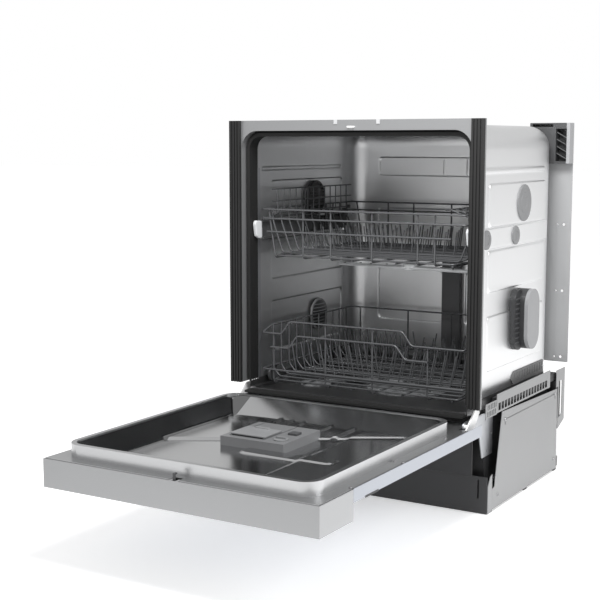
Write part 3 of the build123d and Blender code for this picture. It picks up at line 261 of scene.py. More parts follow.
def moulded(name, colour, rough, grain=900.0, depth=0.00005):
    """Moulded plastic: spark-eroded grain and slow drifts of tone."""
    finish = Finish(name, Specular_IOR_Level=0.45)
    finish.tint(finish.noise(14, 4), *shades(colour, 0.06))
    finish.rough(rough + finish.noise(60) * 0.12)
    finish.bump(finish.noise(grain, 2), depth, 0.6)
    return finish


def painted(name, colour, rough, metallic=0.0, flake=0.05):
    """Coated sheet: orange peel, fine flake in the colour and a faint handling haze."""
    finish = Finish(name, Metallic=metallic, Coat_Roughness=0.2)
    finish.tint(finish.noise(1800, 1) * 0.6 + finish.noise(5) * 0.4, *shades(colour, flake))
    finish.rough(rough + finish.noise(9) * 0.08)
    finish.bump(finish.noise(420, 2), 0.00003, 0.5)
    return finish


def brushed(name, colour, rough, stretch, depth=0.00002):
    """Rolled stainless sheet: long fine grain one way, with cloudy roughness."""
    finish = Finish(name, Metallic=1.0, Anisotropic=0.3)
    grain = finish.noise(90, 5, stretch)
    finish.tint(grain * 0.7 + finish.noise(4) * 0.3, *shades(colour, 0.07))
    finish.rough(rough + grain * 0.09 + finish.noise(6, 2) * 0.06)
    finish.bump(grain, depth, 0.5)
    return finish


plug_moulding = moulded("plug_moulding", (0.19, 0.192, 0.197), 0.4)
rail_moulding = moulded("rail_moulding", (0.07, 0.071, 0.073), 0.36)
black_moulding = moulded("black_moulding", (0.02, 0.02, 0.021), 0.42)
dark_moulding = moulded("dark_moulding", (0.06, 0.061, 0.064), 0.42)
grey_moulding = moulded("grey_moulding", (0.2, 0.205, 0.21), 0.38)
light_moulding = moulded("light_moulding", (0.55, 0.56, 0.57), 0.36)
plinth_paint = painted("plinth_paint", (0.022, 0.022, 0.023), 0.36)
panel_coat = painted("panel_coat", (0.35, 0.353, 0.358), 0.34, 0.3)
zinc = brushed("zinc_sheet", (0.5, 0.51, 0.53), 0.34, (1, 1, 1))
spring_wire = brushed("spring_wire", (0.5, 0.5, 0.52), 0.25, (1, 1, 6))
hose_rubber = moulded("hose_rubber", (0.018, 0.018, 0.018), 0.6, 500)
wear(black_moulding, "base_tray", "base_side_frames", "front_foot_left", "front_foot_right", "cable_gland")
wear(plinth_paint, "kick_plate")
wear(painted("side_panel_coat", (0.25, 0.252, 0.256), 0.34, 0.3), "base_side_panels")
wear(zinc, "hinge_plates")
wear(dark_moulding, "sump", "circulation_pump", "drain_pump", width=0.0015)
wear(grey_moulding, "inlet_valve", width=0.001)
wear(light_moulding, "softener_tank", width=0.004)
wear(hose_rubber, "pump_pipes", width=0)


def settle(piece, finish, body):
    """Give a new piece its finish and the body it moves with."""
    piece.data.materials.append(finish.material)
    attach(piece, body)
    return piece


def bent(name, runs, radius, finish, body, turn=0.006):
    """Bent round wires in one piece: each run is points, and whether it closes on itself."""
    curve = bpy.data.curves.new(name, "CURVE")
    curve.dimensions = "3D"
    curve.bevel_depth = radius
    curve.bevel_resolution = 3
    curve.use_fill_caps = True
    for points, closed in runs:
        points = [Vector(point) for point in points]
        count = len(points)
        line = []
        for index, point in enumerate(points):
            if not closed and index in (0, count - 1):
                line.append(point)
                continue
            before = points[index - 1] - point
            after = points[(index + 1) % count] - point
            reach = min(turn, before.length * 0.45, after.length * 0.45)
            start = point + before.normalized() * reach
            end = point + after.normalized() * reach
            for step in range(5):
                t = step / 4
                line.append((1 - t) ** 2 * start + 2 * t * (1 - t) * point + t * t * end)
        spline = curve.splines.new("POLY")
        spline.points.add(len(line) - 1)
        spline.use_cyclic_u = closed
        for place, point in zip(spline.points, line):
            place.co = (*point, 1)
    piece = bpy.data.objects.new(name, curve)
    bpy.context.collection.objects.link(piece)
    return settle(piece, finish, body)


spring_low, spring_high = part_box("door_springs")
spring_x = spring_high.x - 0.008
spring_z = (spring_low.z + spring_high.z) / 2
coils, coil_steps, coil_r = 34, 14, 0.0068
coil_front, coil_rear = spring_low.y + 0.012, spring_high.y - 0.02
for side, label in ((-1, "left"), (1, "right")):
    line = [(side * spring_x, spring_low.y, spring_z)]
    for step in range(coils * coil_steps + 1):
        turn = 2 * math.pi * step / coil_steps
        along = coil_front + (coil_rear - coil_front) * step / (coils * coil_steps)
        line.append((side * spring_x + coil_r * math.cos(turn), along, spring_z + coil_r * math.sin(turn)))
    line.append((side * spring_x, spring_high.y, spring_z))
    coil = bent(f"spring_coil_{label}", [(line, False)], 0.0011, spring_wire, "machine", 0.0005)
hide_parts("door_springs")


# ---- Front frame and seals ----
# A satin coated steel ring round the opening, with ribbed black strips outside it, a black
# gasket inside it and a small latch strike and two clips at the top.
frame_coat = painted("frame_coat", (0.29, 0.293, 0.298), 0.3, 0.6)
seal_rubber = moulded("seal_rubber", (0.006, 0.006, 0.006), 0.6, 700)
white_coat = painted("white_coat", (0.78, 0.78, 0.78), 0.3)
wear(frame_coat, "front_frame")
wear(seal_rubber, "side_seal_strips", "door_seal")
fittings = Finish("top_fittings_coat")
fittings.tint((fittings.spot("Z") > 0.8045) * 0.95 + fittings.noise(9) * 0.05, (0.78, 0.78, 0.78), (0.36, 0.363, 0.37))
fittings.rough(0.3 + fittings.noise(30) * 0.1)
wear(fittings, "top_frame_fittings", width=0.0004)

# ---- Tub ----
# Side walls and roof are one sheet of satin stainless steel pressed with stiffening pads, and
# the dished back is a second sheet. Both are seen from inside and from outside.
# The inner faces of both sheets are painted darker as shade.
def tub_steel_painted_shade(name, stretch):
    """Rolled sheet with painted shade: the inner face, towards the middle of the tub, is painted darker than the outer
    one.
    """
    finish = Finish(name, Metallic=1.0, Anisotropic=0.3)
    grain = finish.noise(90, 5, stretch)
    face = finish.node("ShaderNodeNewGeometry", output="Normal")
    from_middle = finish.node("ShaderNodeVectorMath", {"operation": "SUBTRACT"}, {0: finish.place(), 1: TUB_MIDDLE})
    outwards = finish.node("ShaderNodeVectorMath", {"operation": "DOT_PRODUCT"}, {0: face, 1: from_middle}, output="Value")
    # Painted shade: faces turned towards the middle of the tub take the darker colour, faces turned away take the
    # lighter one.
    side = (outwards > 0) * 0.82
    finish.tint(side + grain * 0.12 + finish.noise(4) * 0.06, (0.64, 0.644, 0.65), (0.84, 0.844, 0.85))
    finish.rough(0.26 + grain * 0.09 + finish.noise(6, 2) * 0.06)
    finish.bump(grain, 0.00002, 0.5)
    return finish


TUB_MIDDLE = (0, 0.25, 0.5)
steel_upright = tub_steel_painted_shade("tub_steel_painted_shade", (1, 9, 1))
steel_back = tub_steel_painted_shade("back_steel", (9, 1, 1))
floor_steel = brushed("floor_steel", (0.26, 0.26, 0.264), 0.24, (9, 1, 1))
wear(floor_steel, "tub_floor")
SHEET = 0.0012
COLLAR_MARKS = ((27, 719), (27, 485), (27, 256))
PRESS = 0.0028


def pad(u, v, span, radius=0.008, soft=0.0016):
    """How far a point is up on a pressed pad, 0 beside it to 1 on top."""
    u0, u1, v0, v1 = span
    du = abs(u - (u0 + u1) / 2) - (u1 - u0) / 2 + radius
    dv = abs(v - (v0 + v1) / 2) - (v1 - v0) / 2 + radius
    out = math.hypot(max(du, 0), max(dv, 0)) + min(max(du, dv), 0) - radius
    t = min(1, max(0, (soft - out) / (2 * soft)))
    return t * t * (3 - 2 * t)


def stations(low, high, step, edges):
    """Evenly spaced values, with a few more at the edge of each pad."""
    count = max(2, round((high - low) / step))
    values = {round(low + (high - low) * n / count, 5) for n in range(count + 1)}
    for edge in edges:
        values |= {round(edge + n * 0.0011, 5) for n in range(-2, 3) if low < edge + n * 0.0011 < high}
    return sorted(values)


def sheet_piece(name, rows, finish, body, thick, closed=False, offset=-1, hole=None):
    """Pressed sheet through rows of points, thickened inwards, open within the x and y of a hole."""
    across = len(rows[0])
    faces = []
    for r in range(len(rows) - 1):
        for c in range(across if closed else across - 1):
            d = (c + 1) % across
            faces.append((r * across + c, r * across + d, (r + 1) * across + d, (r + 1) * across + c))
    points = [point for row in rows for point in row]
    if hole:
        x0, x1, y0, y1 = hole
        inside = [x0 < x < x1 and y0 < y < y1 for x, y, _ in points]
        faces = [face for face in faces if not all(inside[v] for v in face)]
        used = sorted({v for face in faces for v in face})
        place = {v: n for n, v in enumerate(used)}
        faces = [[place[v] for v in face] for face in faces]
        points = [points[v] for v in used]
    mesh = bpy.data.meshes.new(name)
    mesh.from_pydata(points, [], faces)
    mesh.update()
    piece = bpy.data.objects.new(name, mesh)
    bpy.context.collection.objects.link(piece)
    if thick:
        solid = piece.modifiers.new("sheet", "SOLIDIFY")
        solid.thickness = thick
        solid.offset = offset
    ease(piece, 0)
    return settle(piece, finish, body)


def arch_line(half, foot, top, radius, step, edges=()):
    """Points and outward directions up one side, over the roof and down the other."""
    line = []
    line += [((-half, z), (-1, 0)) for z in stations(foot, top - radius, step, edges)[:-1]]
    turns = 14
    for n in range(turns):
        a = math.pi - math.pi / 2 * n / turns
        away = (math.cos(a), math.sin(a))
        line.append(((-half + radius + radius * away[0], top - radius + radius * away[1]), away))
    flat = max(2, round(2 * (half - radius) / step))
    line += [((-half + radius + 2 * (half - radius) * n / flat, top), (0, 1)) for n in range(flat // 2 + 1)]
    mirror = [((-x, z), (-nx, nz)) for (x, z), (nx, nz) in reversed(line[:-1])]
    return line + mirror


wrap_low, wrap_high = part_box("tub_wrapper")
TUB_R = 0.05
SIDE_PADS = (
    (0.108, 0.437, 0.595, 0.683), (0.066, 0.46, 0.550, 0.592), (0.108, 0.437, 0.459, 0.545),
    (0.108, 0.437, 0.293, 0.408), (0.069, 0.43, 0.706, 0.714),
)
ROOF_PADS = ((0.1, 0.4, -0.2, -0.02), (0.1, 0.4, 0.02, 0.2))
pad_levels = [z for span in SIDE_PADS for z in span[2:]]
pad_depths = [y for span in SIDE_PADS for y in span[:2]]
outline = arch_line(wrap_high.x, wrap_low.z, wrap_high.z, TUB_R, 0.005, pad_levels)
rows = []
for y in stations(wrap_low.y, wrap_high.y, 0.005, pad_depths):
    row = []
    for (x, z), (nx, nz) in outline:
        lift = 0
        if abs(nx) > 0.99:
            lift = max(pad(y, z, span, min(0.008, (span[3] - span[2]) / 2)) for span in SIDE_PADS)
        elif nz > 0.99:
            lift = -0.5 * max(pad(y, x, span) for span in ROOF_PADS)
        row.append((x + nx * lift * PRESS, y, z + nz * lift * PRESS))
    rows.append(row)
tub = sheet_piece("tub_pressing", rows, steel_upright, "machine", SHEET)
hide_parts("tub_wrapper")

back_low, back_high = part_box("tub_back")
DISH_R = 0.045
BACK_PADS = (
    (-0.188, 0.192, 0.687, 0.732), (-0.188, 0.192, 0.490, 0.607), (-0.188, -0.012, 0.329, 0.457),
    (0.049, 0.192, 0.329, 0.457),
)
CREASES = (-0.012, 0.049)
rows = []
for n in range(12):
    a = math.pi / 2 * n / 11
    inset, y = DISH_R * (1 - math.cos(a)), back_high.y - DISH_R + DISH_R * math.sin(a)
    line = arch_line(back_high.x - inset, back_low.z, back_high.z - inset, max(0.001, TUB_R - inset), 0.004)
    rows.append([(x, y if n else back_low.y, z) for (x, z), _ in line])
flat_half, flat_top = back_high.x - DISH_R, back_high.z - DISH_R


def resample(row, count):
    """The same line with evenly spaced points."""
    points = [Vector(point) for point in row]
    lengths = [0]
    for a, b in zip(points, points[1:]):
        lengths.append(lengths[-1] + (b - a).length)
    made, k = [], 0
    for n in range(count):
        want = lengths[-1] * n / (count - 1)
        while k < len(points) - 2 and lengths[k + 1] < want:
            k += 1
        t = (want - lengths[k]) / max(1e-9, lengths[k + 1] - lengths[k])
        made.append(tuple(points[k].lerp(points[k + 1], min(1, max(0, t)))))
    return made


dish = sheet_piece("back_dish", [resample(row, 420) for row in rows], steel_back, "machine", SHEET)
columns = stations(-flat_half, flat_half, 0.005, [x for span in BACK_PADS for x in span[:2]] + list(CREASES))
rows = []
for z in stations(back_low.z, flat_top, 0.005, [z for span in BACK_PADS for z in span[2:]]):
    row = []
    for x in columns:
        lift = max(pad(x, z, span) for span in BACK_PADS)
        lift -= 0.45 * max(pad(x, z, (crease - 0.001, crease + 0.001, 0.690, 0.729), 0.001) for crease in CREASES)
        row.append((x, back_high.y - PRESS + lift * PRESS, z))
    rows.append(row)
flat = sheet_piece("back_pressing", rows, steel_back, "machine", SHEET, offset=1)
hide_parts("tub_back")


# ---- Tub fittings ----
# Round plugs and roller caps snapped into holes in the walls, the moulded water duct on the back
# wall, the air-break housing on the right wall and the bitumen patches that deaden the sides.
def turned(name, profile, centre, axis, finish, body, steps=64):
    """Round piece: a profile of (distance along the axis, radius) turned about it."""
    ways = {"x": ((1, 0, 0), (0, 1, 0), (0, 0, 1)), "z": ((0, 0, 1), (1, 0, 0), (0, 1, 0))}
    along, u, v = (Vector(way) for way in ways[axis[-1]])
    if axis[0] == "-":
        along = -along
    rows = []
    for reach, radius in profile:
        row = []
        for n in range(steps):
            a = 2 * math.pi * n / steps
            row.append(tuple(Vector(centre) + along * reach + (u * math.cos(a) + v * math.sin(a)) * radius))
        rows.append(row)
    return sheet_piece(name, rows, finish, body, 0, closed=True)


wear(plug_moulding, "side_plugs", "rail_roller_mounts", width=0.001)
wear(moulded("duct_moulding", (0.09, 0.091, 0.094), 0.4), "feed_duct", width=0.004)
housing = Finish("housing_moulding", Specular_IOR_Level=0.45)
housing.tint((housing.spot("X") > 0.2907) * 0.9 + housing.noise(14, 4) * 0.1, (0.02, 0.0205, 0.022), (0.27, 0.273, 0.28))
housing.rough(0.38 + housing.noise(60) * 0.12)
wear(housing, "inlet_housing", width=0.003)
wall_in, wall_out = wrap_high.x - SHEET, wrap_high.x
PLUG_Y, PLUG_Z, VENT_Y, VENT_Z = 0.3, 0.638, 0.315, 0.355
ring_profile = (
    (0.0, 0.0402), (0.004, 0.0402), (0.0056, 0.038), (0.0056, 0.033), (0.0036, 0.031), (0.0036, 0.024),
    (0.0056, 0.022), (0.0056, 0.014), (0.0042, 0.012), (0.0042, 0.0),
)
for side, way in ((-1, "-x"), (1, "x")):
    turned(f"plug_face_{way}", ring_profile, (side * wall_out, PLUG_Y, PLUG_Z), way, plug_moulding, "machine")
for side, label in ((-1, "left"), (1, "right")):
    for y in (0.092, 0.253):
        profile = ((0, 0.0202), (0.005, 0.0202), (0.0064, 0.018), (0.0064, 0.011), (0.004, 0.009), (0.004, 0.0))
        place = (side * wall_out, y, 0.570)
        name = f"roller_cap_{label}_{round(y * 1000)}"
        turned(name, profile, place, "x" if side > 0 else "-x", plug_moulding, "machine")

grille_black = moulded("grille_black", (0.022, 0.022, 0.023), 0.25)
slats = []
for n in range(9):
    drop = -0.032 + 0.008 * n
    half = math.sqrt(0.0375 ** 2 - drop ** 2)
    x = -wall_in + 0.0055
    slats.append(([(x, PLUG_Y - half, PLUG_Z + drop), (x, PLUG_Y + half, PLUG_Z + drop)], False))
bent("drying_vent_slats", slats, 0.0019, grille_black, "machine")
rim = ((0.0, 0.041), (0.006, 0.041), (0.0078, 0.039), (0.0078, 0.036), (0.0044, 0.0345), (0.0044, 0.0))
turned("drying_vent_rim", rim, (-wall_in, PLUG_Y, PLUG_Z), "x", grille_black, "machine")
dome = [(0.0, 0.0382)]
dome += [(0.0125 * math.sin(math.radians(a)), 0.038 * math.cos(math.radians(a))) for a in range(0, 91, 9)]
turned("intake_dome", dome, (-wall_in, VENT_Y, VENT_Z), "x", grille_black, "machine")
slots = []
for n in range(7):
    reach = -0.024 + 0.008 * n
    points = []
    for m in range(-8, 9):
        across = m / 8 * math.sqrt(max(0.0, 0.033 ** 2 - reach ** 2))
        lift = 0.0125 * math.sqrt(max(0.0, 1 - (across ** 2 + reach ** 2) / 0.038 ** 2)) + 0.0004
        points.append((-wall_in + lift, VENT_Y + across, VENT_Z + reach))
    slots.append((points, False))
bent("intake_dome_bars", slots, 0.0011, grey_moulding, "machine", 0.0005)

patch_low, patch_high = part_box("sound_patches")
bitumen = Finish("bitumen_patch")
bitumen.tint(bitumen.noise(300, 4), (0.12, 0.12, 0.122), (0.17, 0.17, 0.172))
bitumen.rough(0.55 + bitumen.noise(80) * 0.2)
bitumen.bump(bitumen.noise(600, 4), 0.0003)
wear(bitumen, "sound_patches")
for side, label in ((-1, "left"), (1, "right")):
    ribs = []
    for n in range(12):
        y = patch_low.y + 0.022 + 0.0155 * n
        x = side * patch_high.x
        low = patch_low.z + (0.008 if n else 0.014)
        ribs.append(([(x, y, low), (x, y, patch_high.z - 0.004)], False))
    bent(f"patch_ribs_{label}", ribs, 0.0016, bitumen, "machine")

# The housing's outer cover is lighter than its body, and its front lobe is ribbed.
house_low, house_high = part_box("inlet_housing")
rib_x = wall_out + 0.0142
ribs = []
for n in range(10):
    z = house_low.z + 0.018 + 0.0105 * n
    ribs.append(([(rib_x, house_low.y + 0.004, z), (rib_x, house_low.y + 0.028, z)], False))
bent("housing_ribs", ribs, 0.0016, dark_moulding, "machine")

# ---- Rear frame ----
# Coated sheet legs behind the tub with forward flanges, and a moulded block at each top corner.
# The right block's outer side face, turned towards the key light, is painted lighter as light.
wear(panel_coat, "rear_frame")
bracket = Finish("corner_bracket", Specular_IOR_Level=0.45)
# Painted light: faces beyond x 0.2912 take the lighter grey, and the rest of the moulding takes the black.
bracket.tint((bracket.spot("X") > 0.2912) * 0.9 + bracket.noise(14, 4) * 0.1, (0.03, 0.0305, 0.032), (0.3, 0.303, 0.31))
bracket.rough(0.42 + bracket.noise(60) * 0.1)
wear(bracket, "rear_corner_brackets", width=0.0012)
screw_steel = brushed("screw_steel", (0.42, 0.42, 0.43), 0.3, (1, 1, 1))


def screws(name, places, body, radius=0.0038):
    """Pan-head screws with a cross recess: place and the way each head points."""
    mesh = bpy.data.meshes.new(name)
    shape = bmesh.new()
    for place, way in places:
        up = Vector(way).normalized()
        u = up.orthogonal().normalized()
        v = up.cross(u)
        ring_count = 20
        rings = []
        for lift, share in ((0, 1.0), (0.3, 1.0), (0.55, 0.86), (0.66, 0.55)):
            ring = []
            for n in range(ring_count):
                a = 2 * math.pi * n / ring_count
                cross = 0.55 if n % 5 else 0.30
                reach = radius * (share if share > 0.6 else cross)
                ring.append(shape.verts.new(Vector(place) + up * lift * radius + (u * math.cos(a) + v * math.sin(a)) * reach))
            rings.append(ring)
        sunk = []
        for n in range(ring_count):
            a = 2 * math.pi * n / ring_count
            reach = radius * (0.42 if n % 5 else 0.18)
            sunk.append(shape.verts.new(Vector(place) + up * 0.25 * radius + (u * math.cos(a) + v * math.sin(a)) * reach))
        rings.append(sunk)
        for low, high in zip(rings, rings[1:]):
            for n in range(ring_count):
                m = (n + 1) % ring_count
                shape.faces.new((low[n], low[m], high[m], high[n]))
        shape.faces.new(list(reversed(rings[0])))
        shape.faces.new(sunk)
    bmesh.ops.recalc_face_normals(shape, faces=shape.faces)
    shape.to_mesh(mesh)
    shape.free()
    piece = bpy.data.objects.new(name, mesh)
    bpy.context.collection.objects.link(piece)
    ease(piece, 0)
    return settle(piece, screw_steel, body)


base_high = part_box("base_side_panels")[1]
side_screws = []
for side in (-1, 1):
    x = side * base_high.x
    side_screws += [((x, y, z), (side, 0, 0)) for y, z in ((0.16, 0.186), (0.47, 0.186), (0.126, 0.03), (0.47, 0.03))]
    side_screws += [((side * (wall_out + 0.0025), 0.44, 0.255), (side, 0, 0))]
    side_screws += [((side * 0.281, 0.5275, z), (0, 1, 0)) for z in (0.31, 0.36, 0.48, 0.53, 0.64, 0.7)]
screws("case_screws", side_screws, "machine")

# ---- Wash gear in the tub ----
# Perforated filter plate, twist-out filter with its handle, salt cap and two spray arms, all
# moulded in grey plastic. Each arm is a hollow blade with a row of jets on each side.
wear(grey_moulding, "filter_plate", "upper_feed_tube")
wear(grey_moulding, "filter_cup", "softener_cap", width=0.0008)


def spray_arm(node, turn, body, hub_up, finish):
    """Hollow two-bladed arm: crowned blades that narrow to round tips, with jets on top."""
    low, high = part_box(node)
    centre = Vector(((low.x + high.x) / 2, (low.y + high.y) / 2, 0))
    a = math.radians(turn)
    along, across = Vector((math.cos(a), math.sin(a), 0)), Vector((-math.sin(a), math.cos(a), 0))
    blade_low = low.z + (0.001 if hub_up else 0.002)
    thick = 0.007
    rows = []
    for n in range(-40, 41):
        s = n / 40
        half = 0.021 - 0.006 * abs(s)
        if abs(s) > 0.9:
            half *= math.sqrt(max(0.0, 1 - ((abs(s) - 0.9) / 0.1) ** 2))
        half = max(half, 0.0006)
        reach = 0.1998 * s
        crown = thick * (1 - 0.25 * abs(s))
        row = []
        for t in (-1, -0.92, -0.6, 0, 0.6, 0.92, 1):
            up = crown * (1 - 0.45 * abs(t) ** 4)
            row.append(tuple(centre + along * reach + across * half * t + Vector((0, 0, blade_low + up))))
        for t in (0.9, 0, -0.9):
            row.append(tuple(centre + along * reach + across * half * t + Vector((0, 0, blade_low))))
        rows.append(row)
    blade = sheet_piece(f"{node}_blades", rows, finish, body, 0, closed=True)
    hub_low, hub_high = low.z, high.z
    hub = (
        (hub_low, 0.0125), (hub_low, 0.0195), (hub_low + 0.001, 0.0208), (hub_high - 0.002, 0.0208),
        (hub_high, 0.0185), (hub_high, 0.011), (hub_high - 0.0012, 0.010), (hub_high - 0.0012, 0.0),
    )
    turned(f"{node}_hub", hub, centre, "z", finish, body)
    jets = []
    for n in (-5, -4, -3, -2, 2, 3, 4, 5):
        s = n / 5.6
        spot = centre + along * 0.1998 * s + across * 0.006 * (1 if n % 2 else -1)
        top = blade_low + thick * (1 - 0.25 * abs(s)) - 0.0004
        jets.append(([tuple(spot + Vector((0, 0, top))), tuple(spot + Vector((0, 0, top + 0.0016)))], False))
    bent(f"{node}_jets", jets, 0.0026, grille_black, body)
    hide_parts(node)


spray_arm("lower_spray_arm", 24, "lower_spray_arm", True, grey_moulding)
spray_arm("upper_spray_arm", 176, "upper_spray_arm", False, light_moulding)

# ---- Door ----
# The inner door is deep-drawn bright stainless with a raised rim round a basin pressed with
# ribs. Coated side walls and outer skin close it, and the control panel is a satin metal box.
liner_steel = brushed("door_steel_inside", (0.52, 0.524, 0.53), 0.24, (9, 1, 1))
door_coat = painted("door_side_coat", (0.36, 0.38, 0.42), 0.3, 0.15)
panel_metal = painted("panel_metal", (0.36, 0.364, 0.37), 0.32, 0.35, 0.07)
wear(liner_steel, "door_liner", width=0.0006)
wear(door_coat, "door_outer_shell")
wear(panel_metal, "control_panel", width=0.0015)
wear(white_coat, "hinge_arms", width=0.0012)
wear(dark_moulding, "latch_hook")
dispenser_grey = moulded("dispenser_grey", (0.15, 0.152, 0.156), 0.34)
wear(dispenser_grey, "dispenser_body", width=0.001)
wear(moulded("dispenser_lid_grey", (0.21, 0.213, 0.218), 0.32), "dispenser_lid", "rinse_cap", width=0.0015)
wear(dark_moulding, "dispenser_key", width=0.0009)
wear(dark_moulding, "button_power", "button_program", "button_half_load", "button_start", width=0.0008)
glass = Finish("display_glass", Transmission_Weight=0.85, IOR=1.5)
glass.tint(glass.noise(40), (0.08, 0.085, 0.09), (0.1, 0.105, 0.11))
glass.rough(0.05 + glass.noise(200) * 0.03)
wear(glass, "display_window")
felt = Finish("felt_pad")
felt.tint(felt.noise(500, 5), (0.05, 0.05, 0.05), (0.1, 0.1, 0.1))
felt.rough(0.85 + felt.noise(100) * 0.1)
felt.bump(felt.noise(700, 4), 0.0005)
wear(felt, "door_insulation", width=0)
board = Finish("circuit_board")
board.tint(board.noise(600, 1) > 0.55, (0.01, 0.06, 0.025), (0.02, 0.1, 0.04))
board.rough(0.35 + board.noise(90) * 0.2)
wear(board, "control_board")

# The basin pressing: a raised light plate at the front, a long step down the left side, ribs
# across the rear and a flat round the dispenser.
# Left of the long step, the basin is painted dark as shade and dark reflection.
BASIN_Z = 0.187
DOOR_SCREWS = (
    (0.284, -0.511), (0.270, -0.321), (0.287, -0.323), (0.275, -0.115), (-0.270, -0.321), (-0.275, -0.115),
)
basin = (-0.2535, 0.2535, -0.5865, -0.0685)
DISPENSER_FOOT = (-0.095, 0.048, -0.343, -0.205)


def past(x, y, start, end, soft=0.0025):
    """0 on the left of a line, rising to 1 on its right."""
    (x0, y0), (x1, y1) = start, end
    length = math.hypot(x1 - x0, y1 - y0)
    off = ((x - x0) * (y0 - y1) + (y - y0) * (x1 - x0)) / length
    t = min(1, max(0, (soft - off) / (2 * soft)))
    return t * t * (3 - 2 * t)


def basin_height(x, y):
    """Height of the pressing above the basin floor."""
    height = 0.0015 + 0.0045 * (1 - past(x, y, (-0.22, -0.367), (-0.22, -0.226)) * past(x, y, (-0.217, -0.369), (-0.144, -0.326)))
    height = min(height, 0.006)
    height += 0.003 * pad(x, y, (-0.032, 0.169, -0.376, -0.340), 0.012)
    height += 0.0035 * pad(x, y, (0.070, 0.080, -0.208, -0.089), 0.005, 0.003)
    height += 0.003 * pad(x, y, (0.018, 0.026, -0.174, -0.116), 0.004, 0.003)
    for middle in (-0.041, -0.069, -0.097):
        height += 0.0025 * pad(x, y, (middle - 0.004, middle + 0.004, -0.150, -0.095), 0.004, 0.003)
    height += 0.003 * pad(x, y, (0.10, 0.235, -0.56, -0.12), 0.03, 0.006)
    for gap, width, rise in (
        (x - basin[0], 0.045, 0.034), (basin[3] - y, 0.065, 0.035), (basin[1] - x, 0.010, 0.012),
        (y - basin[2], 0.010, 0.012),
    ):
        height = max(height, rise * min(1.0, max(0.0, (width - gap) / width)))
    return height


columns, levels = 170, 174
rows = []
for n in range(levels + 1):
    y = basin[2] + (basin[3] - basin[2]) * n / levels
    row = []
    for m in range(columns + 1):
        x = basin[0] + (basin[1] - basin[0]) * m / columns
        corner_u = max(0.0, abs(x) - (basin[1] - 0.03))
        mid_y = (basin[2] + basin[3]) / 2
        corner_v = max(0.0, abs(y - mid_y) - ((basin[3] - basin[2]) / 2 - 0.03))
        over = math.hypot(corner_u, corner_v)
        pull = 0.03 / over if over > 0.03 else 1.0
        px = x - math.copysign(corner_u * (1 - pull), x)
        py = y - math.copysign(corner_v * (1 - pull), y - mid_y)
        row.append((px, py, BASIN_Z + 0.0004 + basin_height(px, py)))
    rows.append(row)
basin_steel_painted_shade = Finish("basin_steel_painted_shade", Metallic=1.0, Anisotropic=0.3)
grain = basin_steel_painted_shade.noise(90, 5, (9, 1, 1))
across_door = basin_steel_painted_shade.node("ShaderNodeSeparateXYZ", None, {"Vector": basin_steel_painted_shade.place()}, output=0)
# Painted shade and dark reflection: left of x -0.206, down the long step, the sheet takes the dark colour; the rest
# takes the bright one.
basin_steel_painted_shade.tint((across_door > -0.206) * 0.9 + grain * 0.1, (0.2, 0.202, 0.205), (0.62, 0.624, 0.63))
basin_steel_painted_shade.rough(0.12 + grain * 0.08)
basin_steel_painted_shade.bump(grain, 0.00002, 0.5)
sheet_piece("basin_pressing", rows, basin_steel_painted_shade, "door", 0, hole=DISPENSER_FOOT)

flange_screws = [((x, y, 0.2003), (0, 0, 1)) for x, y in DOOR_SCREWS]
screws("liner_screws", flange_screws, "door", 0.0032)

# ---- Baskets ----
# Round steel wire bent to shape, spot welded at each crossing and dipped in grey nylon. The
# upper one runs on rails, the lower one on wheels along the ledges of the tub floor.
nylon = painted("nylon_coated_wire", (0.09, 0.092, 0.096), 0.36, 0.3)
W, T = 0.002, 0.0015


def mm(points):
    return [tuple(v / 1000 for v in point) for point in points]


def tines(xs, y, z, height, lean):
    """Tines of one row in millimetres, leaning along X."""
    tilt = math.radians(lean)
    return [([(x, y, z), (x + height * math.sin(tilt), y, z + height * math.cos(tilt))], False) for x in xs]


def spread(low, high, count):
    return [low + (high - low) * n / (count - 1) for n in range(count)]


HALF_B, FRONT_B, REAR_B = 245.0, 40.0, 455.0
CROSS = spread(80.0, 420.0, 11)


def lower_wires():
    dip, high, top, floor_z, mid = 346.0, 375.0, 358.0, 238.0, 264.0
    rim = [(-HALF_B, 40, dip), (-195, 40, dip), (-173, 40, high), (104, 40, high), (125, 40, dip), (HALF_B, 40, dip)]
    rim += [(HALF_B, 80, top), (HALF_B, 455, top), (-HALF_B, 455, top), (-HALF_B, 80, top)]
    second = [(-223, 40, 315), (-175, 40, 315), (-155, 40, 344), (88, 40, 344), (111, 40, 315), (163, 40, 315)]
    runs = [(rim, True), (second, False)]
    runs.append(([(-HALF_B, 40, mid), (HALF_B, 40, mid), (HALF_B, 455, mid), (-HALF_B, 455, mid)], True))
    runs.append(([(-225, 60, floor_z), (225, 60, floor_z), (225, 435, floor_z), (-225, 435, floor_z)], True))
    for y in CROSS:
        runs.append(([(-241, y, top), (-241, y, 262), (-225, y, 242), (225, y, 242), (241, y, 262), (241, y, top)], False))
    for x in (-148, -27, 95, 212):
        runs.append(([(x, 56, 234), (x, 439, 234)], False))
    for x in (-217, -84, 31, 161):
        tall = high if -173 < x < 104 else dip
        runs.append(([(x, 44, tall), (x, 44, 240), (x, 50, 234), (x, 445, 234), (x, 451, 240), (x, 451, top)], False))
    for row in (1, 3, 7, 9):
        runs.append(([(-219, CROSS[row], 246), (219, CROSS[row], 246)], False))
    return runs


def lower_tines():
    runs = []
    for row in (1, 3, 7, 9):
        runs += tines(spread(-200, -25, 8), CROSS[row], 248, 72, -11)
        runs += tines(spread(10, 205, 9), CROSS[row], 248, 72, 11)
    return runs


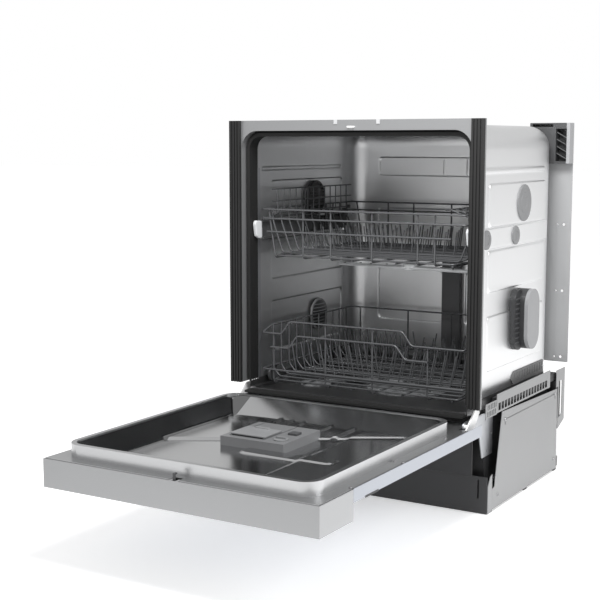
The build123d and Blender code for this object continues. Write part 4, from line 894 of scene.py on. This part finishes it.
def upper_wires():
    top, floor_z, low = 622.0, 520.0, 215.0
    runs = []
    for edge, near, z in ((HALF_B, 40, top), (HALF_B, 40, top - 20), (low, 52, floor_z)):
        far = 495 - near
        runs.append(([(-edge, near, z), (edge, near, z), (edge, far, z), (-edge, far, z)], True))
    runs.append(([(-231, 40, 573), (212, 40, 573)], False))
    for y in CROSS:
        runs.append(([(-241, y, top), (-241, y, 594), (-low, y, 524), (low, y, 524), (241, y, 594), (241, y, top)], False))
    for x in (-22, 82, 212):
        runs.append(([(x, 48, 516), (x, 447, 516)], False))
    for x in (-229, -141, -72, 28, 135, 174):
        foot = max(x, -213)
        run = [(x, 44, top), (foot, 44, floor_z), (foot, 50, 516), (foot, 445, 516), (foot, 451, floor_z), (x, 451, top)]
        runs.append((run, False))
    for row in (2, 4, 6, 8):
        runs.append(([(-207, CROSS[row], 528), (207, CROSS[row], 528)], False))
    return runs


def upper_tines():
    runs = []
    for row in (2, 4, 6, 8):
        runs += tines(spread(-190, -30, 8), CROSS[row], 530, 50, -8)
        runs += tines(spread(-5, 195, 9), CROSS[row], 530, 50, 8)
    return runs


def in_metres(runs):
    return [(mm(points), closed) for points, closed in runs]


lower_frame = bent("lower_basket_wires", in_metres(lower_wires()), W, nylon, "lower_basket", 0.007)
bent("lower_basket_tines", in_metres(lower_tines()), T, nylon, "lower_basket")
upper_frame = bent("upper_basket_wires", in_metres(upper_wires()), W, nylon, "upper_basket", 0.008)
bent("upper_basket_tines", in_metres(upper_tines()), T, nylon, "upper_basket")


def bars(name, spans, finish, body, width=0.0012):
    """Bevelled bars in one piece, each given by its spans along X, Y and Z in millimetres."""
    mesh = bpy.data.meshes.new(name)
    shape = bmesh.new()
    for span in spans:
        made = bmesh.ops.create_cube(shape, size=1)["verts"]
        for vert in made:
            vert.co = [(low if part < 0 else high) / 1000 for part, (low, high) in zip(vert.co, span)]
    shape.to_mesh(mesh)
    shape.free()
    piece = bpy.data.objects.new(name, mesh)
    bpy.context.collection.objects.link(piece)
    ease(piece, width)
    return settle(piece, finish, body)


def both_sides(spans):
    return spans + [((-x[1], -x[0]), y, z) for x, y, z in spans]


WHEEL_ZS, WHEEL_SPOTS = 241.4, (97.0, 403.0)
brackets = [((247, 250), (y - 9, y + 9), (WHEEL_ZS - 8, 267)) for y in WHEEL_SPOTS]
brackets += [((208, 216), (CROSS[5] - 2, CROSS[6] + 2), (244, 253))]
bars("lower_basket_brackets", both_sides(brackets), dark_moulding, "lower_basket")
axles = [([(side * 0.249, y / 1000, WHEEL_ZS / 1000), (side * 0.259, y / 1000, WHEEL_ZS / 1000)], False)
         for side in (-1, 1) for y in WHEEL_SPOTS]
bent("lower_basket_axles", axles, 0.003, dark_moulding, "lower_basket")
hangers = [((247, 249), (y - 9, y + 9), (566, 608)) for y in (335, 420)]
hangers += [((232, 239), (y - 4, y + 4), (608, 616)) for y in (CROSS[0], CROSS[-1])]
hangers += [((249, 256.5), (321, 436), (563, 589))]
bars("upper_basket_runners", both_sides(hangers), rail_moulding, "upper_basket")
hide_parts("lower_basket")
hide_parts("upper_basket")
wear(nylon, "folding_tines", "cup_shelf_left", "cup_shelf_right", width=0)
wear(rail_moulding, "basket_rails")
wear(light_moulding, "rail_end_caps", width=0.0025)
wear(dark_moulding, "lower_front_wheels", "lower_rear_wheels", width=0.0012)

# The base's black mouldings seen round the tub's foot, and small marks on the frame's collar.
base_parts = both_sides([
    ((262, 285), (494, 519), (120, 226)), ((265, 284), (140, 490), (216, 234)),
])
base_parts.append(((-262, 262), (50, 53), (84, 214)))
bars("base_mouldings", base_parts, black_moulding, "machine")
slot_marks = [((-271.4, -270.9), (y - 5, y + 5), (z - 9, z + 9)) for y, z in COLLAR_MARKS]
bars("collar_slots", slot_marks, white_coat, "machine", 0.0002)
bars("collar_edge", [((-262.7, -262.1), (46, 60), (240, 712))], zinc, "machine", 0.0001)
bars("door_side_slot", [((290.6, 291.3), (-472, -424), (174.5, 178.5))], black_moulding, "door", 0.0001)

# ---- Closing ----
low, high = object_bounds()
